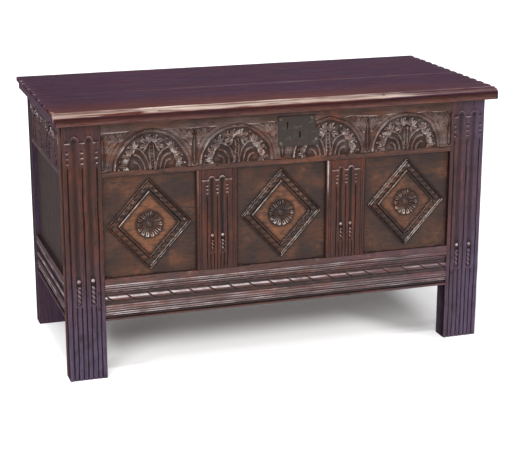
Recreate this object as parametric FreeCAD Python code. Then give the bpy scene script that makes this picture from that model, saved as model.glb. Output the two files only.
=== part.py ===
import FreeCAD, Part
import math
import os
from collections import namedtuple

Vector = FreeCAD.Vector

# A joined oak coffer: four stiles, framed and panelled sides, a boarded floor and a plank lid.
# Origin on the floor under the middle of the lid, +X to the right, +Y to the back, +Z up.

# Carcase over the stiles, from the floor to the underside of the lid
carcase_width = 1190.0
carcase_depth = 530.0
carcase_height = 697.0
foot_height = 160.0

# Framing timbers
stile_width = 101.0
stile_thickness = 52.0
rail_thickness = 34.0
top_rail_height = 145.0
bottom_rail_height = 117.0
muntin_width = 115.0
muntin_thickness = 30.0

# Mortise and tenon joints
tenon_thickness = 10.0
tenon_setback = 13.0
tenon_shoulder = 14.0
rail_tenon_length = 45.0
end_tenon_length = 36.0
muntin_tenon_length = 30.0
muntin_tenon_shoulder = 20.0
mortise_gap = 0.2

# Oak pegs that lock the joints
peg_radius = 3.5
peg_gap = 0.1
peg_inset = 17.5
peg_proud = 6.0
end_peg_length = 45.0
muntin_peg_lift = 12.0
peg_height_shares = (0.25, 0.75)

# Panels, feathered at the back into grooves in the frame
groove_setback = 14.0
groove_width = 8.0
groove_depth = 9.0
panel_tongue = 7.4
panel_float = 1.0
panel_clearance = 4.0
panel_raise = 5.0
panel_bevel = 24.0

# Stop fluting on the front stiles and muntins: hollows, fine lines, and reeds below the stop
hollow_depth = 4.0
line_radius = 2.0
stile_flute_pitch = 38.0
stile_hollow_width = 20.0
stile_crest_drop = 31.0
stile_line_drop = 114.0
stile_stop_height = 274.0
stile_reed_height = 210.0
muntin_flute_pitch = 28.0
muntin_hollow_width = 15.0
muntin_crest_drop = 18.0
muntin_line_drop = 63.0
muntin_stop_lift = 91.0
muntin_reed_lift = 52.0
reed_width_share = 0.65

# Lunettes carved in the front top rail
lunette_radius = 104.0
lunette_band = 10.0
lunette_sink = 5.0
lunette_lift = 15.0
lunette_place_shares = (0.263, 0.727)
end_lunette_place_share = 0.5
lunette_stem_width = 14.0
leaf_band = 9.0

# Lozenge and rosette carved on each front panel
lozenge_side_margin = 11.0
lozenge_top_margin = 12.0
lozenge_band = 27.0
lozenge_bead = 5.0
lozenge_height = 5.0
lozenge_field_height = 2.0
rosette_radius = 36.0
rosette_height = 5.0
rosette_petals = 12
petal_overlap = 2.0
rosette_boss_radius = 9.0
rosette_boss_height = 7.0

# Run mouldings of the bottom rails, from the top edge down:
# height as a share of the rail, then start depth, end depth and swell as shares of the depth
moulding_depth = 6.0
moulding_member_shares = (
    (0.14, 0.0, 0.0, 0.0),
    (0.08, 0.35, 0.35, 0.35),
    (0.04, 0.6, 0.6, 0.0),
    (0.15, 0.5, 1.0, -0.3),
    (0.14, 1.0, 1.0, 1.0),
    (0.07, 0.85, 0.85, 0.0),
    (0.15, 0.85, 0.15, 0.4),
    (0.08, 0.45, 0.45, 0.0),
    (0.10, 0.5, 1.0, -0.3),
    (0.05, 0.15, 0.15, 0.0),
)

# Floor boards
floor_board_count = 6
floor_board_thickness = 14.0
floor_lift = 14.0
floor_gap = 0.3
floor_housing = 10.0

# Lid
lid_thickness = 34.0
lid_front_overhang = 28.0
lid_back_overhang = 28.0
lid_end_overhang = 24.0
lid_front_board_width = 262.0
lid_joint_chamfer = 1.2
lid_fillet_drop = 3.0
lid_ovolo_width = 22.0
lid_nose_height = 19.0
lid_under_round = 4.0
lid_lip_height = 12.0
lid_cove_width = 6.0
lid_cove_drop = 9.0
lid_cove_start = 26.0
nick_pitch = 43.0
nick_radius = 13.0
nick_reach = 9.5
dowel_radius = 5.0
dowel_length = 60.0
dowel_gap = 0.1
dowel_place_shares = (-0.42, -0.15, 0.15, 0.42)

# Battens under the lid
batten_width = 45.0
batten_thickness = 24.0
batten_end_gap = 10.0
batten_side_gap = 8.0
batten_nail_shares = (0.08, 0.32, 0.68, 0.92)

# Strap hinges
hinge_spacing_share = 0.6
hinge_iron = 3.0
knuckle_radius = 6.6
hinge_pin_radius = 3.0
hinge_pin_gap = 0.05
pin_head_radius = 4.4
pin_head_height = 2.0
leaf_width = 60.0
leaf_height = 72.0
strap_knuckle_width = 24.0
knuckle_side_gap = 0.2
knuckle_room = 0.5
strap_length = 400.0
strap_shoulder_width = 34.0
strap_shoulder = 42.0
strap_neck_width = 17.0
strap_end_radius = 17.0
strap_gap = 0.3
strap_nail_shares = (0.14, 0.42, 0.68, 1.0)
leaf_nail_place_shares = ((-0.7, 0.35), (0.7, 0.35), (0.0, 0.75))

# Lock, set right of the middle of the front
lock_offset = 47.5
lock_plate_width = 116.0
lock_plate_shift = -3.5
lock_corner_width = 11.0
lock_corner_height = 35.0
lock_plate_height = 82.0
lock_plate_drop = 15.0
lock_plate_thickness = 2.5
lock_plate_proud = 0.8
lock_plate_gap = 0.2
keyhole_width = 4.0
keyhole_height = 17.0
keyhole_lift = 23.0
hasp_slot_width = 4.0
hasp_slot_height = 19.0
hasp_slot_lift = 48.0
hasp_slot_offset = -35.5
lock_seat_margin = 9.0
key_room_width = 28.0
key_room_drop = 7.0
works_room = 2.0
bolt_bar_length = 76.0
bolt_bar_height = 10.0
bolt_bar_lift = 42.0
bolt_thickness = 6.0
bolt_gap = 0.3
bolt_toe_width = 12.5
bolt_toe_height = 10.0
bolt_rest_gap = 2.5
bolt_travel = 12.0
bolt_talon_width = 9.0
bolt_talon_depth = 4.0
guide_iron = 2.5
guide_width = 7.0
guide_place_shares = (0.4, 0.88)
spring_iron = 1.2
spring_width = 5.0
spring_foot = 4.0
spring_reach = 20.0
spring_rise = 8.0
spring_place_share = 0.77
lock_nail_place_shares = ((-0.86, -0.76), (0.88, -0.62), (-0.86, 0.84), (0.66, 0.84))

# Wrought nails
nail_radius = 1.6
nail_head_radius = 4.6
nail_head_height = 1.8
nail_head_top_share = 0.45
nail_gap = 0.05
lock_nail_length = 20.0
strap_nail_length = 24.0
leaf_nail_length = 26.0
floor_nail_length = 38.0
batten_nail_length = 45.0
floor_nail_place_shares = (0.25, 0.75)

# Every cutting shape runs this far past the face that it cuts
overrun = 2.0

# Places worked out from the sizes above
half_width = carcase_width / 2
lid_depth = carcase_depth + lid_front_overhang + lid_back_overhang
lid_half = half_width + lid_end_overhang
lid_front = -lid_depth / 2
lid_back = lid_depth / 2
lid_joint = lid_front + lid_front_board_width
lid_top = carcase_height + lid_thickness
front_y = lid_front + lid_front_overhang
back_y = front_y + carcase_depth
middle_y = (front_y + back_y) / 2
opening_low = foot_height + bottom_rail_height
opening_high = carcase_height - top_rail_height
opening_middle = (opening_low + opening_high) / 2
inner_x = half_width - stile_width
bay_width = (2 * inner_x - 2 * muntin_width) / 3
muntin_x = (bay_width + muntin_width) / 2
bay_x = bay_width + muntin_width
floor_low = foot_height + floor_lift
floor_high = floor_low + floor_board_thickness
panel_face = groove_setback + (groove_width - panel_tongue) / 2
tenon_span = (tenon_setback, tenon_setback + tenon_thickness)
groove_span = (groove_setback, groove_setback + groove_width)

# Each side of the carcase is drawn as if seen square on: x along it, y inwards from its face
Frame = namedtuple("Frame", "half_opening tenon_length peg_length rails turn x y")
top_rail = (opening_high, carcase_height)
bottom_rail = (foot_height, opening_low)
back_bottom_rail = (floor_high, opening_low)
long_peg = stile_thickness + peg_proud
end_half = carcase_depth / 2 - stile_thickness
front = Frame(inner_x, rail_tenon_length, long_peg, (top_rail, bottom_rail), 0, 0, front_y)
back = Frame(inner_x, rail_tenon_length, long_peg, (top_rail, back_bottom_rail), 180, 0, back_y)
end_rails = (top_rail, bottom_rail)
left = Frame(end_half, end_tenon_length, end_peg_length, end_rails, -90, -half_width, middle_y)
right = Frame(end_half, end_tenon_length, end_peg_length, end_rails, 90, half_width, middle_y)

nodes = {}


def span(middle, size):
    return (middle - size / 2, middle + size / 2)


def block(xs, ys, zs):
    """Box between the two ends given on each axis."""
    low = [min(pair) for pair in (xs, ys, zs)]
    size = [abs(pair[1] - pair[0]) for pair in (xs, ys, zs)]
    return Part.makeBox(*size, Vector(*low))


def rod(radius, start, reach):
    """Round rod from a point along a vector."""
    return Part.makeCylinder(radius, reach.Length, start, reach)


def prism(points, reach):
    """Closed outline of straight edges, carried along a vector."""
    return Part.Face(Part.makePolygon(points + points[:1])).extrude(reach)


def fused(shapes):
    return shapes[0].multiFuse(shapes[1:]).removeSplitter()


def hollow_radius(width, depth):
    """Radius of a round-bottomed hollow of that width and depth."""
    return (width * width / 4 + depth * depth) / (2 * depth)


def placed(frame, shape):
    """Turn a shape drawn square on to its side of the carcase."""
    turned = shape.rotated(Vector(), Vector(0, 0, 1), frame.turn)
    return turned.translated(Vector(frame.x, frame.y, 0))


def nail(seat, into, length):
    """Nail with its head on a seat point, driven along a unit vector."""
    top_radius = nail_head_radius * nail_head_top_share
    head = Part.makeCone(nail_head_radius, top_radius, nail_head_height, seat, -into)
    return fused([rod(nail_radius, seat, into * length), head])


def nail_holes(seats, into, length):
    """Bores for a row of nails, run out past the seat."""
    bore = nail_radius + nail_gap
    return [rod(bore, seat - into * overrun, into * (length + overrun + nail_gap)) for seat in seats]


# Joints of one side: mortises, panel groove and peg holes

def tenon(frame, rail, side, gap):
    xs = (side * frame.half_opening, side * (frame.half_opening + frame.tenon_length + gap))
    ys = (tenon_span[0] - gap, tenon_span[1] + gap)
    zs = (rail[0] + tenon_shoulder - gap, rail[1] - tenon_shoulder + gap)
    return block(xs, ys, zs)


def peg_places(frame):
    """Where pegs pass through the rail tenons, as x and z on that side."""
    places = []
    for low, high in frame.rails:
        cheek = high - low - 2 * tenon_shoulder
        for share in peg_height_shares:
            for side in (-1, 1):
                places.append((side * (frame.half_opening + peg_inset), low + tenon_shoulder + share * cheek))
    return places


def muntin_peg_places():
    return [(side * muntin_x, opening_high + muntin_peg_lift) for side in (-1, 1)]


def pegs(places, length):
    return [rod(peg_radius, Vector(x, 0, z), Vector(0, length, 0)) for x, z in places]


def peg_holes(places, length):
    bore = peg_radius + peg_gap
    return [rod(bore, Vector(x, -overrun, z), Vector(0, overrun + length + peg_gap, 0)) for x, z in places]


def panel_groove(frame):
    """Slab as large as the panel opening and its grooves."""
    reach = frame.half_opening + groove_depth
    return block((-reach, reach), groove_span, (opening_low - groove_depth, opening_high + groove_depth))


def stile_joints(frame):
    """Everything that one side of the carcase cuts into its stiles."""
    mortises = [tenon(frame, rail, side, mortise_gap) for rail in frame.rails for side in (-1, 1)]
    cuts = mortises + [panel_groove(frame)] + peg_holes(peg_places(frame), frame.peg_length)
    return [placed(frame, cut) for cut in cuts]


# Fluting of the front stiles and muntins

Fluting = namedtuple("Fluting", "pitch hollow_width crest line_top stop reed_top foot")


def hollow_cut(x, width, low, high):
    """Round-bottomed hollow with round ends: a capsule turned about an axis before the face."""
    radius = hollow_radius(width, hollow_depth)
    low_turn = low + width / 2
    high_turn = high - width / 2
    slant = radius * math.sqrt(0.5)
    line = Part.makeLine(Vector(radius, 0, low_turn), Vector(radius, 0, high_turn))
    cap_mid = Vector(slant, 0, high_turn + slant)
    cap = Part.Arc(Vector(radius, 0, high_turn), cap_mid, Vector(0, 0, high_turn + radius)).toShape()
    axis = Part.makeLine(Vector(0, 0, high_turn + radius), Vector(0, 0, low_turn - radius))
    foot_mid = Vector(slant, 0, low_turn - slant)
    foot = Part.Arc(Vector(0, 0, low_turn - radius), foot_mid, Vector(radius, 0, low_turn)).toShape()
    face = Part.Face(Part.Wire([line, cap, axis, foot]))
    capsule = face.revolve(Vector(), Vector(0, 0, 1), 360)
    return capsule.translated(Vector(x, hollow_depth - radius, 0))


def line_cut(x, low, high):
    return rod(line_radius, Vector(x, 0, low), Vector(0, 0, high - low))


def flute_cuts(middle, flutes):
    """Two hollows between three fine lines, with a reed standing in each hollow below its stop."""
    cuts = [line_cut(middle + step * flutes.pitch, flutes.foot, flutes.line_top) for step in (-1, 0, 1)]
    reed_half = reed_width_share * flutes.hollow_width / 2
    for side in (-1, 1):
        x = middle + side * flutes.pitch / 2
        cuts.append(hollow_cut(x, flutes.hollow_width, flutes.stop, flutes.crest))
        cuts += [line_cut(x + edge * reed_half, flutes.foot, flutes.reed_top) for edge in (-1, 1)]
    return cuts


stile_flutes = Fluting(stile_flute_pitch, stile_hollow_width, carcase_height - stile_crest_drop,
                       carcase_height - stile_line_drop, stile_stop_height, stile_reed_height, -overrun)
muntin_flutes = Fluting(muntin_flute_pitch, muntin_hollow_width, opening_high - muntin_crest_drop,
                        opening_high - muntin_line_drop, opening_low + muntin_stop_lift,
                        opening_low + muntin_reed_lift, opening_low - overrun)


# Stiles

def stile(x_side, frame):
    """Corner post under one end of the front or back."""
    xs = (x_side * half_width, x_side * inner_x)
    depth = stile_thickness if frame is front else -stile_thickness
    post = block(xs, (frame.y, frame.y + depth), (0, carcase_height))
    cuts = stile_joints(frame) + stile_joints(left if x_side < 0 else right)
    if frame is front:
        cuts += [placed(front, cut) for cut in flute_cuts(x_side * (inner_x + stile_width / 2), stile_flutes)]
    return post.cut(cuts)


for side_name, x_side in (("left", -1), ("right", 1)):
    nodes["front_" + side_name + "_stile"] = stile(x_side, front)
    nodes["rear_" + side_name + "_stile"] = stile(x_side, back)


# Rails

def moulded_body(half_length, rail):
    """Rail body whose face carries the run mouldings, as a profile carried along x."""
    low, high = rail
    edges = []
    corner = top_corner = Vector(-half_length, moulding_member_shares[0][1] * moulding_depth, high)
    for height, start, end, swell in moulding_member_shares:
        first = Vector(-half_length, start * moulding_depth, corner.z)
        last = Vector(-half_length, end * moulding_depth, corner.z - height * (high - low))
        if start * moulding_depth != corner.y:
            edges.append(Part.makeLine(corner, first))
        if swell:
            middle = (first + last) / 2 - Vector(0, swell * moulding_depth, 0)
            edges.append(Part.Arc(first, middle, last).toShape())
        else:
            edges.append(Part.makeLine(first, last))
        corner = last
    back_foot = Vector(-half_length, rail_thickness, low)
    back_top = Vector(-half_length, rail_thickness, high)
    edges += [Part.makeLine(corner, back_foot), Part.makeLine(back_foot, back_top)]
    edges.append(Part.makeLine(back_top, top_corner))
    return Part.Face(Part.Wire(edges)).extrude(Vector(2 * half_length, 0, 0))


def plain_body(half_length, rail):
    return block((-half_length, half_length), (0, rail_thickness), rail)


def jointed_rail(frame, rail, body):
    """Rail body with a tenon at each end, its panel groove and its peg holes."""
    tenons = [tenon(frame, rail, side, 0) for side in (-1, 1)]
    cuts = [panel_groove(frame)] + peg_holes(peg_places(frame), frame.peg_length)
    return fused([body] + tenons).cut(cuts)


def muntin_tenon(middle, gap):
    """Both tenons of a muntin in one slab, from rail to rail."""
    xs = span(middle, muntin_width - 2 * muntin_tenon_shoulder + 2 * gap)
    ys = (tenon_span[0] - gap, tenon_span[1] + gap)
    reach = muntin_tenon_length + gap
    return block(xs, ys, (opening_low - reach, opening_high + reach))


def long_rail(frame, rail, body):
    """Rail of the front or back, which also takes the muntins."""
    mortises = [muntin_tenon(side * muntin_x, mortise_gap) for side in (-1, 1)]
    cuts = mortises + peg_holes(muntin_peg_places(), rail_thickness + overrun)
    return jointed_rail(frame, rail, body).cut(cuts)


# Lunettes and lock seat in the front top rail

lunette_base = opening_high + lunette_lift
lunette_inside = lunette_radius - lunette_band
lock_middle = lock_offset + lock_plate_shift
lock_low = carcase_height - lock_plate_drop - lock_plate_height
lock_back = lock_plate_thickness - lock_plate_proud
lock_zs = (lock_low, lock_low + lock_plate_height)
keyhole_low = lock_low + keyhole_lift
bar_zs = (lock_low + bolt_bar_lift, lock_low + bolt_bar_lift + bolt_bar_height)
bolt_ys = (lock_back + bolt_gap, lock_back + bolt_gap + bolt_thickness)
guide_back = bolt_ys[1] + bolt_gap + guide_iron
toe_right = lock_offset + hasp_slot_offset - hasp_slot_width / 2 - bolt_rest_gap
toe_left = toe_right - bolt_toe_width


def half_disc(middle, radius, depth):
    """Half disc sunk from the face, standing on the lunettes' base line."""
    disc = rod(radius, Vector(middle, -overrun, lunette_base), Vector(0, overrun + depth, 0))
    upper = block(span(middle, 2 * radius), (-overrun, depth), (lunette_base, lunette_base + radius))
    return disc.common(upper)


def lunette_cut(middle):
    """Ground of a lunette, sunk round its stem and the two curled leaves beside it."""
    ground = half_disc(middle, lunette_inside, lunette_sink)
    stem_zs = (lunette_base, lunette_base + lunette_radius)
    kept = [block(span(middle, lunette_stem_width), (-overrun, lunette_sink), stem_zs)]
    leaf_radius = (lunette_inside - lunette_stem_width / 2) / 2
    for side in (-1, 1):
        leaf_x = middle + side * (lunette_stem_width / 2 + leaf_radius)
        leaf = half_disc(leaf_x, leaf_radius, lunette_sink)
        kept.append(leaf.cut(half_disc(leaf_x, leaf_radius - leaf_band, lunette_sink + overrun)))
    return ground.cut(kept)


def lock_ground():
    """Wood left standing round the seat of the lock plate."""
    seat_xs = span(lock_middle, lock_plate_width + 2 * lock_seat_margin)
    return block(seat_xs, (-overrun, lunette_sink), lock_zs)


def lock_outline(gap, ys):
    """Slab as large as the lock plate and a gap, without the upper right corner that the plate has lost."""
    slab = block(span(lock_middle, lock_plate_width + 2 * gap), ys, (lock_zs[0] - gap, lock_zs[1] + gap))
    edge = lock_middle + lock_plate_width / 2
    lost_xs = (edge - lock_corner_width + gap, edge + overrun)
    lost_zs = (lock_zs[1] - lock_corner_height + gap, lock_zs[1] + overrun)
    return slab.cut(block(lost_xs, (ys[0] - overrun, ys[1] + overrun), lost_zs))


def lock_cuts():
    """Seat of the lock plate and the pockets behind it for the bolt and the key."""
    seat = lock_outline(lock_plate_gap, (-overrun, lock_back))
    pocket_xs = (toe_left - works_room, toe_left + bolt_bar_length + bolt_travel + works_room)
    pocket_ys = (0, guide_back + works_room)
    pocket_low = bar_zs[0] - bolt_gap - guide_iron - works_room
    pocket_high = bar_zs[1] + bolt_gap + max(bolt_toe_height, spring_rise + spring_foot) + works_room
    pocket = block(pocket_xs, pocket_ys, (pocket_low, pocket_high))
    key_room = block(span(lock_offset, key_room_width), pocket_ys, (keyhole_low - key_room_drop, bar_zs[0]))
    return [seat, pocket, key_room] + nail_holes(lock_nail_seats(), Vector(0, 1, 0), lock_nail_length)


def lock_nail_seats():
    """Nail heads on the face of the lock plate."""
    seats = []
    for across, up_share in lock_nail_place_shares:
        x = lock_middle + across * lock_plate_width / 2
        z = sum(lock_zs) / 2 + up_share * lock_plate_height / 2
        seats.append(Vector(x, -lock_plate_proud, z))
    return seats


front_lunettes = []
for share in lunette_place_shares:
    front_lunettes += [lunette_cut(side * share * inner_x).cut(lock_ground()) for side in (-1, 1)]
top_body = long_rail(front, top_rail, plain_body(inner_x, top_rail))
nodes["front_top_rail"] = placed(front, top_body.cut(front_lunettes).cut(lock_cuts()))


# Bottom rail of the front, housed inside for the floor boards

housing_ys = (rail_thickness - floor_housing - floor_gap, rail_thickness + overrun)
housing = block((-inner_x, inner_x), housing_ys, (floor_low - floor_gap, floor_high + floor_gap))
bottom_body = long_rail(front, bottom_rail, moulded_body(inner_x, bottom_rail))
nodes["front_bottom_rail"] = placed(front, bottom_body.cut(housing))


# Back rails, the lower one standing on the floor boards

for rail_name, rail in (("top", top_rail), ("bottom", back_bottom_rail)):
    body = long_rail(back, rail, plain_body(inner_x, rail))
    nodes["back_" + rail_name + "_rail"] = placed(back, body)


# End rails: two lunettes along the top one, run mouldings on the bottom one

end_lunettes = [lunette_cut(side * end_lunette_place_share * end_half) for side in (-1, 1)]
for end_name, frame in (("left", left), ("right", right)):
    top_end = jointed_rail(frame, top_rail, plain_body(end_half, top_rail)).cut(end_lunettes)
    bottom_end = jointed_rail(frame, bottom_rail, moulded_body(end_half, bottom_rail))
    nodes[end_name + "_top_rail"] = placed(frame, top_end)
    nodes[end_name + "_bottom_rail"] = placed(frame, bottom_end)


# Muntins

def muntin(middle):
    body = block(span(middle, muntin_width), (0, muntin_thickness), (opening_low, opening_high))
    edge_grooves = []
    for side in (-1, 1):
        edge = middle + side * muntin_width / 2
        xs = (edge - side * groove_depth, edge + side * overrun)
        edge_grooves.append(block(xs, groove_span, (opening_low - overrun, opening_high + overrun)))
    holes = peg_holes(muntin_peg_places(), rail_thickness + overrun)
    return fused([body, muntin_tenon(middle, 0)]).cut(edge_grooves + holes)


for side_name, x_side in (("left", -1), ("right", 1)):
    middle = x_side * muntin_x
    fluted = muntin(middle).cut(flute_cuts(middle, muntin_flutes))
    nodes["front_" + side_name + "_muntin"] = placed(front, fluted)
    nodes["back_" + side_name + "_muntin"] = placed(back, muntin(-middle))


# Panels

def panel(middle, width):
    """Board flush in front, with its back bevelled down to a tongue all round."""
    height = opening_high - opening_low
    lap = groove_depth - panel_float
    tongue_back = panel_face + panel_tongue
    board_x = span(middle, width + 2 * lap)
    board = block(board_x, (panel_face, tongue_back), span(opening_middle, height + 2 * lap))
    wide_x = span(middle, width - 2 * panel_clearance)
    wide_z = span(opening_middle, height - 2 * panel_clearance)
    inset = panel_clearance + panel_bevel
    thin_x = span(middle, width - 2 * inset)
    thin_z = span(opening_middle, height - 2 * inset)
    raised = Part.makeWedge(wide_x[0], tongue_back, wide_z[0], thin_z[0], thin_x[0],
                            wide_x[1], tongue_back + panel_raise, wide_z[1], thin_z[1], thin_x[1])
    return fused([board, raised])


def diamond(middle, inset, height):
    """Lozenge slab, its sides moved in by the inset, from inside the panel to a height above its face."""
    half_x = bay_width / 2 - lozenge_side_margin
    half_z = (opening_high - opening_low) / 2 - lozenge_top_margin
    side_distance = half_x * half_z / math.hypot(half_x, half_z)
    scale = 1 - inset / side_distance
    corners = ((half_x, 0), (0, half_z), (-half_x, 0), (0, -half_z))
    root = panel_face + panel_tongue / 2
    points = [Vector(middle + x * scale, root, opening_middle + z * scale) for x, z in corners]
    return prism(points, Vector(0, panel_face - height - root, 0))


def lozenge(middle):
    """Nicked band between two raised beads."""
    outer = diamond(middle, 0, lozenge_height).cut(diamond(middle, lozenge_bead, lozenge_height))
    band = diamond(middle, lozenge_bead, lozenge_field_height)
    band = band.cut(diamond(middle, lozenge_band - lozenge_bead, lozenge_field_height))
    inner = diamond(middle, lozenge_band - lozenge_bead, lozenge_height)
    inner = inner.cut(diamond(middle, lozenge_band, lozenge_height))
    return [outer, band, inner]


def rosette(middle):
    """Round petals in a ring about a boss."""
    root = panel_face + panel_tongue / 2
    half_angle = math.pi / rosette_petals
    petal_radius = rosette_radius * math.sin(half_angle) / (1 + math.sin(half_angle)) + petal_overlap
    ring = rosette_radius - petal_radius
    rise = Vector(0, panel_face - rosette_height - root, 0)
    pieces = [rod(ring, Vector(middle, root, opening_middle), rise)]
    for petal in range(rosette_petals):
        angle = 2 * half_angle * petal
        centre = Vector(middle + ring * math.cos(angle), root, opening_middle + ring * math.sin(angle))
        pieces.append(rod(petal_radius, centre, rise))
    boss_rise = Vector(0, panel_face - rosette_boss_height - root, 0)
    pieces.append(rod(rosette_boss_radius, Vector(middle, root, opening_middle), boss_rise))
    return pieces


for side_name, x_side in (("left", -1), ("middle", 0), ("right", 1)):
    middle = x_side * bay_x
    carved = fused([panel(middle, bay_width)] + lozenge(middle) + rosette(middle))
    nodes["front_" + side_name + "_panel"] = placed(front, carved)
    nodes["back_" + side_name + "_panel"] = placed(back, panel(-middle, bay_width))

for end_name, frame in (("left", left), ("right", right)):
    nodes[end_name + "_panel"] = placed(frame, panel(0, 2 * end_half))


# Pegs, one group for each side

for frame_name, frame in (("front", front), ("back", back), ("left", left), ("right", right)):
    group = pegs(peg_places(frame), frame.peg_length)
    if frame in (front, back):
        group += pegs(muntin_peg_places(), rail_thickness)
    nodes[frame_name + "_pegs"] = placed(frame, Part.makeCompound(group))


# Floor boards, housed in the front rail and nailed up to the back rail

floor_half = half_width - rail_thickness - floor_gap
board_width = 2 * floor_half / floor_board_count
board_front = front_y + rail_thickness - floor_housing
up = Vector(0, 0, 1)


def corner_clearances():
    """Room for the four stiles at the corners of the floor."""
    cuts = []
    for side in (-1, 1):
        xs = (side * (inner_x - floor_gap), side * half_width)
        zs = (floor_low - overrun, floor_high + overrun)
        cuts.append(block(xs, (front_y, front_y + stile_thickness + floor_gap), zs))
        cuts.append(block(xs, (back_y - stile_thickness - floor_gap, back_y + overrun), zs))
    return cuts


def floor_nail_seats():
    """Two nails for each board, up into the middle of the back rail."""
    seats = []
    for index in range(floor_board_count):
        low = max(-floor_half + index * board_width, -inner_x)
        high = min(-floor_half + (index + 1) * board_width, inner_x)
        for share in floor_nail_place_shares:
            seats.append(Vector(low + share * (high - low), back_y - rail_thickness / 2, floor_low))
    return seats


floor_seats = floor_nail_seats()
floor_holes = nail_holes(floor_seats, up, floor_nail_length)
for index in range(floor_board_count):
    low_x = -floor_half + index * board_width
    board = block((low_x, low_x + board_width), (board_front, back_y), (floor_low, floor_high))
    nodes["floor_board_%d" % (index + 1)] = board.cut(corner_clearances() + floor_holes)
nodes["back_bottom_rail"] = nodes["back_bottom_rail"].cut(floor_holes)
nodes["floor_nails"] = Part.makeCompound([nail(seat, up, floor_nail_length) for seat in floor_seats])


# Lid: two boards with a moulded front edge and nicked ends

ovolo_low = carcase_height + lid_nose_height
ovolo_high = lid_top - lid_fillet_drop
ovolo_rise = ovolo_high - ovolo_low
bend_share = math.sqrt(0.5)


def front_edge(inwards, z):
    return Vector(-lid_half - overrun, lid_front + inwards, z)


def nose_waste(reach):
    """Waste outside the moulded front edge: above its fillet and ovolo, and below its rounded foot."""
    arris = [front_edge(-overrun, lid_top + overrun), front_edge(lid_ovolo_width, lid_top + overrun)]
    arris.append(front_edge(lid_ovolo_width, ovolo_high))
    bend = front_edge(lid_ovolo_width * (1 - bend_share), ovolo_low + ovolo_rise * bend_share)
    ovolo = Part.Arc(arris[-1], bend, front_edge(0, ovolo_low)).toShape()
    rest = [front_edge(0, ovolo_low), front_edge(-overrun, ovolo_low), arris[0]]
    upper = Part.Wire(Part.makePolygon(arris).Edges + [ovolo] + Part.makePolygon(rest).Edges)
    below = [front_edge(-overrun, carcase_height - overrun),
             front_edge(lid_under_round, carcase_height - overrun), front_edge(lid_under_round, carcase_height)]
    swell = lid_under_round * (1 - bend_share)
    round_end = front_edge(0, carcase_height + lid_under_round)
    round_edge = Part.Arc(below[-1], front_edge(swell, carcase_height + swell), round_end).toShape()
    side = [round_end, front_edge(-overrun, carcase_height + lid_under_round), below[0]]
    lower = Part.Wire(Part.makePolygon(below).Edges + [round_edge] + Part.makePolygon(side).Edges)
    return [Part.Face(wire).extrude(reach) for wire in (upper, lower)]


def left_end(inwards, y, z):
    return Vector(-lid_half + inwards, y, z)


def right_end(inwards, y, z):
    return Vector(lid_half - inwards, y, z)


def cove_waste(end):
    """Waste under the lip of one end: a hollow that starts behind the nose and runs out at the back."""
    y = lid_front + lid_cove_start
    lip_low = lid_top - lid_lip_height
    bend = end(lid_cove_width * bend_share, y, lip_low - lid_cove_drop * (1 - bend_share))
    hollow_end = end(lid_cove_width, y, lip_low - lid_cove_drop)
    hollow = Part.Arc(end(0, y, lip_low), bend, hollow_end).toShape()
    rest = [hollow_end, end(lid_cove_width, y, carcase_height - overrun),
            end(-overrun, y, carcase_height - overrun), end(-overrun, y, lip_low), end(0, y, lip_low)]
    section = Part.Wire([hollow] + Part.makePolygon(rest).Edges)
    return Part.Face(section).extrude(Vector(0, lid_back + overrun - y, 0))


def nick_cuts(end):
    """Row of gouge nicks across the top arris of one end."""
    count = int((lid_depth - 2 * lid_cove_start) / nick_pitch) + 1
    cuts = []
    for index in range(count):
        y = (lid_front + lid_back) / 2 + (index - (count - 1) / 2) * nick_pitch
        foot = end(0, y, lid_top - nick_reach)
        slope = end(nick_reach, y, lid_top) - foot
        reach = slope.Length + 2 * overrun
        slope.normalize()
        lift = Vector(-slope.x, 0, slope.z) * nick_radius
        cuts.append(rod(nick_radius, foot + lift - slope * overrun, slope * reach))
    return cuts


def lid_slab():
    """Whole lid before it is parted into boards."""
    slab = block((-lid_half, lid_half), (lid_front, lid_back), (carcase_height, lid_top))
    along_front = Vector(2 * (lid_half + overrun), 0, 0)
    waste = nose_waste(along_front)
    for end in (left_end, right_end):
        waste += [cove_waste(end)] + nick_cuts(end)
    corner = Vector(-lid_half - overrun, lid_joint, lid_top - lid_joint_chamfer)
    left_lip = corner + Vector(0, -lid_joint_chamfer - overrun, lid_joint_chamfer + overrun)
    right_lip = corner + Vector(0, lid_joint_chamfer + overrun, lid_joint_chamfer + overrun)
    return slab.cut(waste + [prism([corner, left_lip, right_lip], along_front)])


def dowels(radius, length):
    starts = [Vector(share * 2 * lid_half, lid_joint - length / 2, (carcase_height + lid_top) / 2)
              for share in dowel_place_shares]
    return [rod(radius, start, Vector(0, length, 0)) for start in starts]


# Battens nailed under the lid, clear of the carcase

batten_x = half_width - rail_thickness - batten_side_gap - batten_width / 2
batten_ys = (front_y + stile_thickness + batten_end_gap, back_y - stile_thickness - batten_end_gap)
batten_low = carcase_height - batten_thickness


def batten_nail_seats(x_side):
    length = batten_ys[1] - batten_ys[0]
    ys = [batten_ys[0] + share * length for share in batten_nail_shares]
    return [Vector(x_side * batten_x, y, batten_low) for y in ys]


batten_seats = batten_nail_seats(-1) + batten_nail_seats(1)
batten_holes = nail_holes(batten_seats, up, batten_nail_length)
for side_name, x_side in (("left", -1), ("right", 1)):
    batten = block(span(x_side * batten_x, batten_width), batten_ys, (batten_low, carcase_height))
    nodes["lid_" + side_name + "_batten"] = batten.cut(batten_holes)
nodes["batten_nails"] = Part.makeCompound([nail(seat, up, batten_nail_length) for seat in batten_seats])


# Strap hinges: strap let into the lid, leaf on the back rail, and a pin through their knuckles

axis_y = back_y + knuckle_radius
axis_z = carcase_height + hinge_iron - knuckle_radius
knuckle_bore = hinge_pin_radius + hinge_pin_gap
inwards = Vector(0, -1, 0)


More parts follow.
